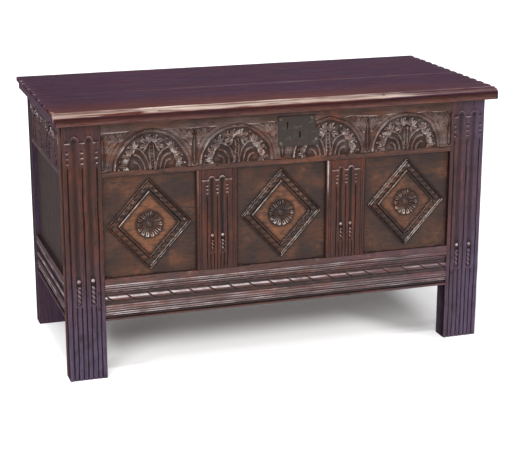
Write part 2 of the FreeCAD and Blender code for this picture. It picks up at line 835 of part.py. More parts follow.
def knuckle(low_x, high_x):
    """Rolled eye round the hinge pin."""
    start = Vector(low_x, axis_y, axis_z)
    reach = Vector(high_x - low_x, 0, 0)
    return rod(knuckle_radius, start, reach).cut(rod(knuckle_bore, start, reach))


def pin_clearance(middle):
    reach = Vector(leaf_width, 0, 0)
    return rod(knuckle_bore, Vector(middle - leaf_width / 2, axis_y, axis_z), reach)


def strap_outline(middle, gap, height):
    """Strap that widens from its knuckle, tapers and ends in a round, from the lid's underside up."""
    stations = ((strap_knuckle_width, 0), (strap_knuckle_width, 2 * knuckle_radius),
                (strap_shoulder_width, strap_shoulder), (strap_neck_width, strap_length))
    right_side = [Vector(middle + width / 2 + gap, axis_y - out, carcase_height) for width, out in stations]
    left_side = [Vector(middle - width / 2 - gap, axis_y - out, carcase_height) for width, out in stations]
    blade = prism(right_side + left_side[::-1], Vector(0, 0, height))
    tip = Vector(middle, axis_y - strap_length, carcase_height)
    end = rod(strap_end_radius + gap, tip, Vector(0, 0, height))
    return fused([blade, end])


def strap_nail_seats(middle):
    return [Vector(middle, axis_y - share * strap_length, carcase_height) for share in strap_nail_shares]


def leaf_nail_seats(middle):
    face = back_y + hinge_iron
    return [Vector(middle + across * leaf_width / 2, face, axis_z - down * leaf_height)
            for across, down in leaf_nail_place_shares]


def strap(middle):
    eye = knuckle(middle - strap_knuckle_width / 2, middle + strap_knuckle_width / 2)
    iron = fused([strap_outline(middle, 0, hinge_iron), eye]).cut(pin_clearance(middle))
    return iron.cut(nail_holes(strap_nail_seats(middle), up, strap_nail_length))


def leaf(middle):
    """Plate on the back of the rail, with an eye at each side of the strap's."""
    half = leaf_width / 2
    inner = strap_knuckle_width / 2 + knuckle_side_gap
    plate = block(span(middle, leaf_width), (back_y, back_y + hinge_iron), (axis_z - leaf_height, axis_z))
    eyes = [knuckle(middle - half, middle - inner), knuckle(middle + inner, middle + half)]
    room = block(span(middle, 2 * inner), (back_y - overrun, back_y + 2 * knuckle_radius),
                 (axis_z - knuckle_radius - knuckle_room, axis_z + overrun))
    iron = fused([plate] + eyes).cut([room, pin_clearance(middle)])
    return iron.cut(nail_holes(leaf_nail_seats(middle), inwards, leaf_nail_length))


def hinge_pin(middle):
    """Pin with both ends hammered over."""
    start = middle - leaf_width / 2 - knuckle_side_gap
    end = middle + leaf_width / 2 + knuckle_side_gap
    along = Vector(1, 0, 0)
    shank = rod(hinge_pin_radius, Vector(start, axis_y, axis_z), along * (end - start))
    heads = [rod(pin_head_radius, Vector(start, axis_y, axis_z), -along * pin_head_height),
             rod(pin_head_radius, Vector(end, axis_y, axis_z), along * pin_head_height)]
    return fused([shank] + heads)


def hinge_recess(middle):
    """Room in the lid for the strap, and behind it for the knuckles, open to the back edge."""
    room = leaf_width + 2 * (pin_head_height + knuckle_side_gap + knuckle_room)
    knuckles = block(span(middle, room), (back_y - 2 * knuckle_room, lid_back + overrun),
                     (carcase_height - overrun, axis_z + knuckle_radius + knuckle_room))
    return [strap_outline(middle, strap_gap, hinge_iron + strap_gap), knuckles]


hinge_x = hinge_spacing_share * half_width
hinge_places = (("left", -hinge_x), ("right", hinge_x))
strap_nails = []
leaf_nails = []
lid_cuts = batten_holes + dowels(dowel_radius + dowel_gap, dowel_length + 2 * dowel_gap)
for side_name, middle in hinge_places:
    nodes[side_name + "_hinge_strap"] = strap(middle)
    nodes[side_name + "_hinge_leaf"] = leaf(middle)
    nodes[side_name + "_hinge_pin"] = hinge_pin(middle)
    strap_nails += [nail(seat, up, strap_nail_length) for seat in strap_nail_seats(middle)]
    leaf_nails += [nail(seat, inwards, leaf_nail_length) for seat in leaf_nail_seats(middle)]
    lid_cuts += hinge_recess(middle) + nail_holes(strap_nail_seats(middle), up, strap_nail_length)
    leaf_holes = nail_holes(leaf_nail_seats(middle), inwards, leaf_nail_length)
    nodes["back_top_rail"] = nodes["back_top_rail"].cut(leaf_holes)
nodes["hinge_strap_nails"] = Part.makeCompound(strap_nails)
nodes["hinge_leaf_nails"] = Part.makeCompound(leaf_nails)

slab = lid_slab().cut(lid_cuts)
lid_zs = (carcase_height - overrun, lid_top + overrun)
lid_xs = (-lid_half - overrun, lid_half + overrun)
nodes["lid_front_board"] = slab.common(block(lid_xs, (lid_front - overrun, lid_joint), lid_zs))
nodes["lid_rear_board"] = slab.common(block(lid_xs, (lid_joint, lid_back + overrun), lid_zs))
nodes["lid_dowels"] = Part.makeCompound(dowels(dowel_radius, dowel_length))


# Lock: plate, bolt that slides along the front, its guides and its spring

def lock_plate():
    plate = lock_outline(0, (-lock_plate_proud, lock_back))
    through = (-lock_plate_proud - overrun, lock_back + overrun)
    slot_low = lock_low + hasp_slot_lift
    keyhole = block(span(lock_offset, keyhole_width), through, (keyhole_low, keyhole_low + keyhole_height))
    hasp_slot = block(span(lock_offset + hasp_slot_offset, hasp_slot_width), through,
                      (slot_low, slot_low + hasp_slot_height))
    holes = nail_holes(lock_nail_seats(), Vector(0, 1, 0), lock_nail_length)
    return plate.cut([keyhole, hasp_slot] + holes)


def lock_bolt():
    """Flat bar with a toe that slides behind the hasp slot, and a notch that the key lifts into."""
    bar = block((toe_left, toe_left + bolt_bar_length), bolt_ys, bar_zs)
    toe = block((toe_left, toe_right), bolt_ys, (bar_zs[0], bar_zs[1] + bolt_toe_height))
    talon = block(span(lock_offset, bolt_talon_width), (0, guide_back),
                  (bar_zs[0] - overrun, bar_zs[0] + bolt_talon_depth))
    return fused([bar, toe]).cut(talon)


def bolt_guide(place_share):
    """Staple round the bar, standing on the back of the plate."""
    xs = span(toe_left + place_share * bolt_bar_length, guide_width)
    inner = (bar_zs[0] - bolt_gap, bar_zs[1] + bolt_gap)
    outer = (inner[0] - guide_iron, inner[1] + guide_iron)
    staple = block(xs, (lock_back, guide_back), outer)
    return staple.cut(block(xs, (lock_back - overrun, guide_back - guide_iron), inner))


def lock_spring():
    """Leaf spring standing on the plate, its tip just over the bar."""
    foot_x = toe_left + spring_place_share * bolt_bar_length
    rest_z = bar_zs[1] + bolt_gap
    outline = ((spring_foot, spring_rise + spring_foot), (0, spring_rise + spring_foot), (0, spring_rise),
               (-spring_reach, spring_iron), (-spring_reach, 0), (0, spring_rise - spring_iron),
               (spring_foot, spring_rise - spring_iron))
    points = [Vector(foot_x + x, lock_back, rest_z + z) for x, z in outline]
    return prism(points, Vector(0, spring_width, 0))


lock_nails = [nail(seat, Vector(0, 1, 0), lock_nail_length) for seat in lock_nail_seats()]
nodes["lock_plate"] = placed(front, lock_plate())
nodes["lock_bolt"] = placed(front, lock_bolt())
guides = [bolt_guide(share) for share in guide_place_shares]
nodes["lock_bolt_guides"] = placed(front, Part.makeCompound(guides))
nodes["lock_spring"] = placed(front, lock_spring())
nodes["lock_nails"] = placed(front, Part.makeCompound(lock_nails))


os.makedirs("parts", exist_ok=True)
for name, shape in nodes.items():
    shape.exportStep("parts/" + name + ".step")
    print(name, len(shape.Solids), round(shape.Volume), shape.isValid())
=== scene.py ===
import math
import bpy
import numpy as np
from types import SimpleNamespace
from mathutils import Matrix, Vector


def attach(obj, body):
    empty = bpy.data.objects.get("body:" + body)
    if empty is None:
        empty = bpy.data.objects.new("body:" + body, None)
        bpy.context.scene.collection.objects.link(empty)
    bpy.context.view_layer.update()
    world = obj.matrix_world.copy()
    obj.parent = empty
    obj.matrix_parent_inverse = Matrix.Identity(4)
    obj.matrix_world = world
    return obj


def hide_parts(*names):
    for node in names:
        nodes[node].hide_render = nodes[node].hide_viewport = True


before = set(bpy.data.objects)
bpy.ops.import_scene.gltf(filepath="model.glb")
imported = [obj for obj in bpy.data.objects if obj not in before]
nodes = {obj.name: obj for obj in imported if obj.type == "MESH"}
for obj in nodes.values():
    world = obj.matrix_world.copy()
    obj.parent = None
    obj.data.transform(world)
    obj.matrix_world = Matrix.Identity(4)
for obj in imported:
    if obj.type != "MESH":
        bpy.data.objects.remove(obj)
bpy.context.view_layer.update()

# Front stiles
# Two oak posts, 101 by 52 mm, from the floor to the lid, mortised for the rails of the front and the ends.
# Planed flat, then worked with gouges: hollows under a scrolled crest, fine lines, pearls and twisted reeds.

mm = 0.001
carcase_height = 697.0
half_width = 595.0
front_face = -265.0
stile_width = 101.0
stile_half = stile_width / 2
stile_thickness = 52.0
opening_low = 277.0
opening_high = 552.0
# How wear is judged: mesh cells round a point, the height in mm that counts as one, and the most it may give.
wear_cells = 5
wear_height = 1.4
wear_most = 0.3
# The angle in degrees from which an edge is drawn sharp.
sharp_angle = 40


def ease(low, high, x):
    """0 below the low value, 1 above the high one, and a smooth S between them."""
    t = np.clip((x - low) / (high - low), 0, 1)
    return t * t * (3 - 2 * t)


def dome(*offsets):
    """Height share of a round form: the root of one less the squares of offsets, as shares of the radius."""
    return np.sqrt(np.clip(1 - sum(offset ** 2 for offset in offsets), 0, 1))


def bell(offset):
    """Share of a soft line: a bell curve over the offset as a share of the line's half width."""
    return np.exp(-offset ** 2)


def wander(s, v, long_way, cross_way, seed):
    """Smooth random field about zero: draws on a coarse mesh of those spacings, eased from draw to draw."""
    weights = []
    for places, spacing in ((s, long_way), (v, cross_way)):
        steps = (places - places.min()) / spacing
        away = np.abs(steps[:, None] - np.arange(int(steps.max()) + 2))
        weights.append(ease(0, 1, 1 - away))
    draws = np.random.default_rng(seed).normal(size=(weights[0].shape[1], weights[1].shape[1]))
    return weights[0] @ draws @ weights[1].T


def blurred(field, cells):
    """Mean over a square of neighbours, taken twice, with the edge values carried outwards."""
    for axis in (0, 1, 0, 1):
        widths = [(0, 0), (0, 0)]
        widths[axis] = (cells + 1, cells)
        total = np.cumsum(np.pad(field, widths, mode="edge"), axis=axis)
        last = total.shape[axis]
        far = np.take(total, range(2 * cells + 1, last), axis=axis)
        near = np.take(total, range(last - 2 * cells - 1), axis=axis)
        field = (far - near) / (2 * cells + 1)
    return field


def arris(v, low, high, radius):
    """Depth of the rounded edges of a face: a quarter circle of that radius at both sides."""
    t = np.clip(1 - np.minimum(v - low, high - v) / radius, 0, 1)
    return radius * (1 - np.sqrt(1 - t * t))


def back_points(s, *pairs):
    """Back points of a board: pairs of place across and depth, each one value or one for every station s."""
    points = np.empty((len(s), len(pairs), 2))
    for index, (across, deep) in enumerate(pairs):
        points[:, index, 0] = across
        points[:, index, 1] = deep
    return points


def carried_profile(name, points, turned):
    """Closed mesh of a profile carried along stations: quads between neighbours, and a flat cap at each end.
    Points go by station, then round the profile; a turned one has its faces the other way round."""
    stations, loop = points.shape[:2]
    i, j = np.meshgrid(np.arange(stations - 1), np.arange(loop), indexing="ij")
    k = (j + 1) % loop
    corners = [i * loop + j, (i + 1) * loop + j, (i + 1) * loop + k, i * loop + k]
    quads = np.stack(corners, axis=-1).reshape(-1, 4)
    caps = [np.arange(loop), np.arange(loop)[::-1] + (stations - 1) * loop]
    if turned:
        quads = quads[:, ::-1]
        caps = [cap[::-1] for cap in caps]
    mesh = bpy.data.meshes.new(name)
    mesh.from_pydata((points * mm).reshape(-1, 3), [], quads.tolist() + [cap.tolist() for cap in caps])
    return mesh


def put(name, data):
    """Links an object of that mesh, lamp or camera to the scene."""
    thing = bpy.data.objects.new(name, data)
    bpy.context.scene.collection.objects.link(thing)
    return thing


def board(name, corner, axes, s, v, depth, back, finishes, tint=0, rub_and_painted_light=0, inside=None, bare=True):
    """Carved board: at each station s its profile crosses the face (v across, depth below the face plane) and
    returns over the back points, or over a flat back at the depth given. How proud a point stands of the mean
    of its neighbours, plus rubbing and painted highlights and shade, is kept as the wear attribute, and a
    tint share as tint. The finishes are the face's and ends', the sides', and that of the strips between back
    points, or of the first few if inside gives a number. Stations that aren't bare have the face's finish
    all round."""
    if np.isscalar(back):
        back = back_points(s, (v[-1], back), (v[0], back))
    along, across, inwards = (np.array(axis, float) for axis in axes)
    rows = np.concatenate([np.broadcast_to(v, depth.shape), back[..., 0]], axis=1)
    deep = np.concatenate([depth, back[..., 1]], axis=1)
    points = np.array(corner) + s[:, None, None] * along + rows[..., None] * across
    points = points + deep[..., None] * inwards
    mesh = carried_profile(name, points, np.dot(np.cross(along, across), inwards) > 0)
    strip = np.arange(rows.shape[1]) - depth.shape[1] + 1
    within = (strip >= 1) & (strip <= (back.shape[1] - 1 if inside is None else inside))
    finish_of = np.broadcast_to(bare, len(s))[:-1, None] * ((strip >= 0).astype(int) + within)
    mesh.polygons.foreach_set("material_index", np.append(finish_of.ravel(), [0, 0]).astype(np.int32))
    proud = np.clip((blurred(depth, wear_cells) - depth) / wear_height, -1, wear_most)
    for label, values in (("wear_and_painted_light", np.clip(proud + rub_and_painted_light, -1, 1)), ("tint", tint)):
        padded = np.pad(np.broadcast_to(values, depth.shape), ((0, 0), (0, back.shape[1])))
        attribute = mesh.attributes.new(label, "FLOAT", "POINT")
        attribute.data.foreach_set("value", padded.astype(np.float32).ravel())
    mesh.shade_smooth()
    mesh.set_sharp_from_angle(angle=math.radians(sharp_angle))
    for finish in finishes:
        mesh.materials.append(finish)
    return put(name, mesh)


def crest_cut(z, side, off, cut):
    """Depth of the ground over the crest, which is level with a half ellipse over each hollow, and a painted
    highlight along its edge. The depth fades upwards."""
    above = z - cut.crest - cut.arch * dome(off / (1.15 * cut.hollow))
    within = 1 - ease(cut.outer - 1, cut.outer, side)
    depth = 1.9 * ease(-0.8, 0.8, above) * np.exp(-np.clip(above, 0, None) / 13) * within
    return depth, bell((above + 1.2) / 1.6) * within


def hollow_cut(z, off, cut):
    """Depth of the two hollows: a parabola across, closed by a bowl at the head and at the stop."""
    head = cut.crest + cut.arch - 4
    up = np.clip((z - head) / cut.hollow + 1, 0, None)
    down = np.clip((cut.stop - z) / cut.hollow + 1, 0, None)
    return cut.deep * dome(off / cut.hollow, up, down) ** 2


def line_cuts(z, side, cut):
    """Depth of three fine lines that taper out at their tops, with sloped gouge nicks above them in a row,
    and a painted highlight on the nicks' lower lips."""
    off_line = np.abs(side - cut.pitch * np.round(np.clip(side / cut.pitch, 0, 1)))
    taper = 1 - ease(cut.line_top - 14, cut.line_top, z)
    depth = cut.line_deep * dome(off_line / cut.line) ** 2 * taper
    lips = np.zeros_like(depth)
    for nick in cut.nicks:
        rise = z - nick
        slope = ease(-0.5 * cut.nick, 0.8 * cut.nick, rise + 1)
        depth = np.maximum(depth, 2.2 * dome(off_line / cut.nick, rise / (0.8 * cut.nick)) * slope)
        lip = bell((rise + 0.7 * cut.nick) / 1.5) * bell(off_line / (0.7 * cut.nick))
        lips = np.maximum(lips, lip)
    return depth, lips


def reeds_laid(z, u, off, depth, cut):
    """The depth with a round reed, twisted like a rope, laid in each hollow's bed below the stop and a pearl
    at its head; and painted highlights on the pearl's upper half and the reed's strands."""
    bed = 1 - ease(cut.bed - 1.4, cut.bed, np.abs(off))
    bed = bed * ease(cut.reed_foot - 4, cut.reed_foot + 2, z) * (1 - ease(cut.stop + 3, cut.stop + 9, z))
    depth = np.maximum(depth, cut.deep * bed)
    strand = 0.5 + 0.5 * np.cos(2 * np.pi * (z + 0.8 * u) / cut.twist)
    reed_height = dome(off / (cut.bed - 2)) * (0.45 + 0.55 * np.sqrt(strand))
    reed = cut.deep - (cut.deep - 0.3) * reed_height
    on_reed = (z > cut.reed_foot) & (z < cut.stop - 2.1 * cut.pearl) & (np.abs(off) < cut.bed)
    depth = np.where(on_reed, np.minimum(depth, reed), depth)
    pearl = dome(off / cut.pearl, (z - cut.stop) / (1.2 * cut.pearl))
    depth = np.where(pearl > 0, np.minimum(depth, cut.deep * (1 - pearl)), depth)
    lit = ease(-0.3, 0.5, (z - cut.stop) / cut.pearl)
    return depth, 1.8 * pearl * lit + 0.45 * on_reed * strand


def foot_lines(z, off, cut):
    """Depth of the lines beside the plain reeds that run on to the foot: a parabola across each."""
    line = dome((np.abs(off) - 0.65 * cut.hollow) / (0.9 * cut.line)) ** 2
    return cut.line_deep * line * (1 - ease(cut.reed_foot - 10, cut.reed_foot, z))


def fluting(z, u, cut):
    """Depth of stop fluting and its painted highlights, from the height z and the distance u from the middle
    of the post. The cuts lie one over the other and the deepest holds; the gouge wanders a little."""
    drift = 0.5 * wander(z, u, 60, 25, cut.seed)
    z, u = z[:, None], u[None, :] + drift
    side = np.abs(u)
    off = side - cut.pitch / 2
    crest, crest_edge = crest_cut(z, side, off, cut)
    lines, lips = line_cuts(z, side, cut)
    depth = np.max([crest, lines, hollow_cut(z, off, cut)], axis=0)
    depth, reed_highlight = reeds_laid(z, u, off, depth, cut)
    broken = 0.75 + 0.5 * wander(z[:, 0], u[0], 12, 9, cut.seed + 3)
    painted_light_and_rub = np.maximum(broken * crest_edge, 1.2 * lips) + reed_highlight
    return np.maximum(depth, foot_lines(z, off, cut)), painted_light_and_rub


def colour(code):
    """Linear colour from an sRGB hex code."""
    parts = np.array([int(code[i:i + 2], 16) for i in (1, 3, 5)]) / 255
    return (*np.where(parts <= 0.04045, parts / 12.92, ((parts + 0.055) / 1.055) ** 2.4), 1.0)


def bare_tree(owner):
    """The node tree of a material or a world, emptied."""
    owner.use_nodes = True
    owner.node_tree.nodes.clear()
    return owner.node_tree


def add(tree, kind, inputs={}, **settings):
    """Adds a shader node: settings are its own properties, inputs its sockets by name or number, or in a row.
    An input is a value, a socket to link, or a node, for the first output that it uses."""
    made = tree.nodes.new("ShaderNode" + kind)
    for key, value in settings.items():
        setattr(made, key, value)
    named = inputs if isinstance(inputs, dict) else dict(enumerate(inputs))
    for key, value in named.items():
        if isinstance(value, bpy.types.Node):
            value = next(socket for socket in value.outputs if socket.enabled)
        if isinstance(value, bpy.types.NodeSocket):
            tree.links.new(value, made.inputs[key])
        else:
            made.inputs[key].default_value = value
    return made


def grain_patterns(tree, grain, patch):
    """Noise stretched along the grain, one pattern for each feature of oak, by its length and width in mm.
    The pores are drawn coarser than real ones so that they show."""
    place = add(tree, "TexCoord").outputs["Object"]
    features = (("figure", 110, 34, 3), ("streak", 90, 3.5, 5), ("pore", 26, 1.5, 1), ("patch", *patch, 6))
    grown = {}
    for feature, long_way, cross_way, detail in features:
        scale = [1 / (cross_way * mm)] * 3
        scale[grain] = 1 / (long_way * mm)
        stretched = add(tree, "Mapping", {"Vector": place, "Scale": scale})
        noise = {"Vector": stretched, "Scale": 1.0, "Detail": detail, "Roughness": 0.6}
        grown[feature] = add(tree, "TexNoise", noise)
    return grown


def waxed_oak(name, grain, face, warm, dusk, tint_colour, hollow, wear_and_painted_light, grime, rough, shine, streaky=1.0,
              patch=(40, 30)):
    """Oak under centuries of wax: long streaks and pores along the grain, dusky patches, dark wax left in the
    hollows, painted shade where the wear attribute is pushed down, and a pale colour for painted highlights
    and wear where it is high. The tint colour comes in with the tint attribute."""
    material = bpy.data.materials.new(name)
    tree = bare_tree(material)
    grown = grain_patterns(tree, grain, patch)
    proud = add(tree, "Attribute", attribute_name="wear_and_painted_light").outputs["Fac"]
    tint_share = add(tree, "Attribute", attribute_name="tint").outputs["Fac"]
    redder = add(tree, "MapRange", [grown["figure"], 0.46, 0.68, 0.0, 0.8])
    dusky = add(tree, "MapRange", [grown["patch"], 0.5, 0.7, 0.0, 0.7])
    tone = colour(face)
    for share, laid in ((redder, warm), (tint_share, tint_colour), (dusky, dusk)):
        tone = add(tree, "Mix", {0: share, 6: tone, 7: colour(laid)}, data_type="RGBA")
    dark, light = 1 - 0.32 * streaky, 1 + 0.22 * streaky
    shade = add(tree, "MapRange", [grown["streak"], 0.3, 0.7, dark, light])
    pores = add(tree, "MapRange", [grown["pore"], 0.33, 0.45, 0.55, 1.0])
    shade = add(tree, "Math", [shade, pores], operation="MULTIPLY")
    tone = add(tree, "Mix", {0: 1.0, 6: tone, 7: shade}, data_type="RGBA", blend_type="MULTIPLY")
    sunk = add(tree, "MapRange", [proud, -0.8, -0.08, grime, 0.0])
    painted_light_and_rub = add(tree, "MapRange", [proud, 0.3, 1.0, 0.0, 1.0])
    uneven = add(tree, "MapRange", [grown["patch"], 0.36, 0.62, 0.25, 0.95])
    painted_light_and_rub = add(tree, "Math", [painted_light_and_rub, uneven], operation="MULTIPLY")
    for share, laid in ((sunk, hollow), (painted_light_and_rub, wear_and_painted_light)):
        tone = add(tree, "Mix", {0: share, 6: tone, 7: colour(laid)}, data_type="RGBA")
    polish = add(tree, "MapRange", [proud, -0.1, 0.6, rough + 0.12, rough - 0.06])
    dull = add(tree, "MapRange", [grown["streak"], 0.3, 0.7, 0.1, -0.04])
    dull = add(tree, "Math", [polish, dull], operation="ADD")
    texture = add(tree, "Math", [grown["streak"], grown["pore"]], operation="ADD")
    bump = add(tree, "Bump", {"Strength": 0.35, "Distance": 0.5 * mm, "Height": texture})
    look = {"Base Color": tone, "Roughness": dull, "Normal": bump, "Specular IOR Level": shine}
    add(tree, "OutputMaterial", {"Surface": add(tree, "BsdfPrincipled", look)})
    return material


# The front's oak, planed and waxed: red-brown, a low shine, black cuts, pale painted highlights, violet
# painted shade.
frame_finish = dict(face="#462b25", warm="#623628", dusk="#36292c", tint_colour="#50435a", hollow="#100908",
                    wear_and_painted_light="#b4a29e", grime=0.85, rough=0.25, shine=0.18)
upright_oak = waxed_oak("waxed_oak_upright", 2, **frame_finish)
# The same oak where it was left from the saw and plane: a browner face with hardly any shine.
dull_finish = dict(frame_finish, face="#694740", warm="#7b5144", rough=0.5, shine=0.005)
dull_upright_oak = waxed_oak("dull_oak_upright", 2, **dull_finish)
# And a darker violet copy of it, painted shade for the sides seen in shade: a dull violet brown.
painted_shade_finish = dict(dull_finish, face="#40323f", warm="#48343a", dusk="#382f3c")
painted_shade_oak = waxed_oak("painted_shade_oak_upright", 2, **painted_shade_finish)
# Oak that was never waxed, for backs and insides: a matt grey brown. One for each way of the grain.
dry_finish = dict(face="#57423a", warm="#68493b", dusk="#493d3a", tint_colour="#57423a", hollow="#2a1e18",
                  wear_and_painted_light="#8d7a6a", grime=0.8, rough=0.55, shine=0.05)
dry_names = ("dry_oak_level", "dry_oak_deep", "dry_oak_upright")
dry_oak = [waxed_oak(name, grain, **dry_finish) for grain, name in enumerate(dry_names)]
# Ways of an upright board on the front: along its length, across its face, and inwards from the face.
upright = ((0, 0, 1), (1, 0, 0), (0, 1, 0))
# Sizes of the fluting in mm, with heights from the floor.
stile_cut = dict(pitch=38.0, hollow=10.0, deep=4.2, crest=649.0, arch=17.0, outer=44.0, stop=275.0,
                 reed_foot=212.0, line=2.3, line_deep=2.6, line_top=590.0, nicks=(625.0, 611.0, 597.0),
                 nick=4.6, bed=7.5, pearl=6.2, twist=13.0)
stile_z = np.linspace(0, carcase_height, 560)
stile_u = np.linspace(-stile_half, stile_half, 104)

# The right post's sides and inside take the painted shade finish.
for side_name, side, side_oak, seed in (("left", -1, dull_upright_oak, 11), ("right", 1, painted_shade_oak, 12)):
    middle = side * (half_width - stile_half)
    depth, painted_light_and_rub = fluting(stile_z, stile_u, SimpleNamespace(seed=seed, **stile_cut))
    planed = 0.45 + 0.22 * wander(stile_z, stile_u, 140, 30, seed)
    worn_radius = 2.6 + 0.8 * wander(stile_z, stile_u, 50, 200, seed + 20)
    depth = depth + planed + arris(stile_u, -stile_half, stile_half, worn_radius)
    # The violet tint is painted shade: strongest at the foot, and on the right post towards its outer edge.
    tint_share = 0.9 - (0.7 - 0.2 * side) * ease(60, 420, stile_z) + 0.1 * ease(560, 640, stile_z)
    outward = 0.15 * (side + 1) * stile_u / stile_half
    footed = np.clip(tint_share[:, None] + outward[None, :], 0, 0.9)
    # The left post takes the full painted highlights, the right one half of them.
    stile = board("carved_front_" + side_name + "_stile", (middle, front_face, 0), upright, stile_z, stile_u,
                  depth, stile_thickness, (upright_oak, side_oak, side_oak), footed,
                  (0.75 - 0.25 * side) * painted_light_and_rub)
    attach(stile, "carcase")
    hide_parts("front_" + side_name + "_stile")


# Rear stiles
# The same oak posts at the back, mortised for the rails of the back and the ends.
# They are planed and left plain, dry on the back, and their arrises have worn round.

rear_upright = ((0, 0, 1), (1, 0, 0), (0, -1, 0))
rear_z = np.linspace(0, carcase_height, 120)
rear_u = np.linspace(-stile_half, stile_half, 60)

for side_name, side, seed in (("left", -1, 13), ("right", 1, 14)):
    middle = side * (half_width - stile_half)
    worn_radius = 2.4 + 0.6 * wander(rear_z, rear_u, 50, 200, seed)
    planed = 0.5 + 0.2 * wander(rear_z, rear_u, 140, 30, seed)
    depth = planed + arris(rear_u, -stile_half, stile_half, worn_radius)
    # Their sides and inner faces take the painted shade finish.
    stile = board("worn_rear_" + side_name + "_stile", (middle, -front_face, 0), rear_upright, rear_z, rear_u,
                  depth, stile_thickness, (dry_oak[2], painted_shade_oak, painted_shade_oak))
    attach(stile, "carcase")
    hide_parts("rear_" + side_name + "_stile")


# Front top rail
# A long oak board tenoned between the front stiles and seated for the lock.
# Four lunettes are carved in it, each a round arch over a stem and lobed leaves, with darts between them.

level = ((1, 0, 0), (0, 0, 1), (0, 1, 0))
rail_thickness = 34.0
inner_x = half_width - stile_width
lunette_base = 567.0
lunette_radius = 99.0
lunette_places = (0.263 * inner_x, 0.727 * inner_x)
dart_place = sum(lunette_places) / 2
dart_inset = 4.0
arch_half = 3.6
ground_depth = 5.6
relief = 5.1
pearl_ring = 88.0
pearl_radius = 2.8
# In radians round the ring of pearls.
pearl_step = 0.25
stalk_middle = 47.0
stem_off = 5.0
bead_pitch = 9.0
# Leaves of half a lunette: root in mm from the base centre, heading in degrees, length in mm.
lunette_leaves = (((46, 54), 30, 20), ((60, 34), 18, 21), ((66, 11), -6, 20), ((10, 64), 34, 25),
                  ((3, 72), 82, 15))
spandrel_leaf = ((92, 74), 56, 26)
spandrel_stud = (103, 58)
# Half widths and heights of the stalks, in mm.
stalks = ((39, 55), (27, 37), (15, 20))
# Waxed oak with dust in the carving: the leaves go grey where it lies, over a red-brown ground.
carved_finish = dict(frame_finish, face="#503831", warm="#6e4534", tint_colour="#a39590", grime=0.68)
carved_oak = waxed_oak("waxed_oak_carved_leaves", 0, **carved_finish)


def leaf_height(p, q, root, heading, size):
    """Height share of a carved leaf: polar about its root, with a lobed edge, a vein down the middle and one
    down each side lobe, rounding down to the edge."""
    east, north = p - root[0], q - root[1]
    r = np.hypot(east, north) / size
    turn = np.mod(np.arctan2(north, east) - math.radians(heading) + np.pi, 2 * np.pi) - np.pi
    edge = (0.5 + 0.5 * np.abs(np.cos(3.5 * turn))) * (1 - ease(1.5, 2.3, np.abs(turn)))
    vein = 0.6 * bell(turn * r / 0.07) * (r > 0.1)
    side_vein = 0.5 * bell((np.abs(turn) - 0.9) * r / 0.07) * (r > 0.1)
    return np.clip(dome(r / (edge + 0.01)) ** 0.5 - vein - side_vein, 0, 1)


def leafwork(p, q):
    """Height shares inside a lunette, from its base centre: leaves, pearls, and all that stands there.
    Stalks are ellipses in each half, pearls a ring of balls, and the stem two reeds with beads between."""
    half = np.abs(p)
    r = np.hypot(p, q)
    leaves = np.max([leaf_height(half, q, *leaf) for leaf in lunette_leaves], axis=0)
    standing = [leaves]
    for wide, tall in stalks:
        off_stalk = (np.hypot((half - stalk_middle) / wide, q / tall) - 1) * (wide + tall) / 2
        standing.append(0.9 * dome(off_stalk / 3.0) * (half < 50))
    round_ring = (np.mod(np.arctan2(q, p) / pearl_step, 1) - 0.5) * pearl_step * pearl_ring
    pearls = dome((r - pearl_ring) / pearl_radius, round_ring / pearl_radius)
    below_tip = 1 - ease(60, 66, q)
    stem = dome((half - stem_off) / 2.6) * below_tip
    beads = 0.6 * dome(half / 2.4, (np.mod(q, bead_pitch) - bead_pitch / 2) / 3.2) * below_tip
    return leaves, pearls, np.max(standing + [pearls, stem, beads], axis=0)


def spandrels(p, q):
    """Depth of the ribbed ground outside the arches, a cosine over the radius, with a leaf and a round stud
    standing in it; also returns the two."""
    half = np.abs(p)
    r = np.hypot(p, q)
    ribs = 1.9 + 0.6 * np.cos(2 * np.pi * (r - lunette_radius) / 8) * ease(105, 110, r)
    leaf = leaf_height(half, q, *spandrel_leaf)
    stud = dome((half - spandrel_stud[0]) / 2.8, (q - spandrel_stud[1]) / 2.8)
    depth = np.maximum(ribs - 2.4 * np.maximum(leaf, stud), 0) * ease(2, 6, q) * (1 - ease(99, 101, q))
    return depth, leaf, stud


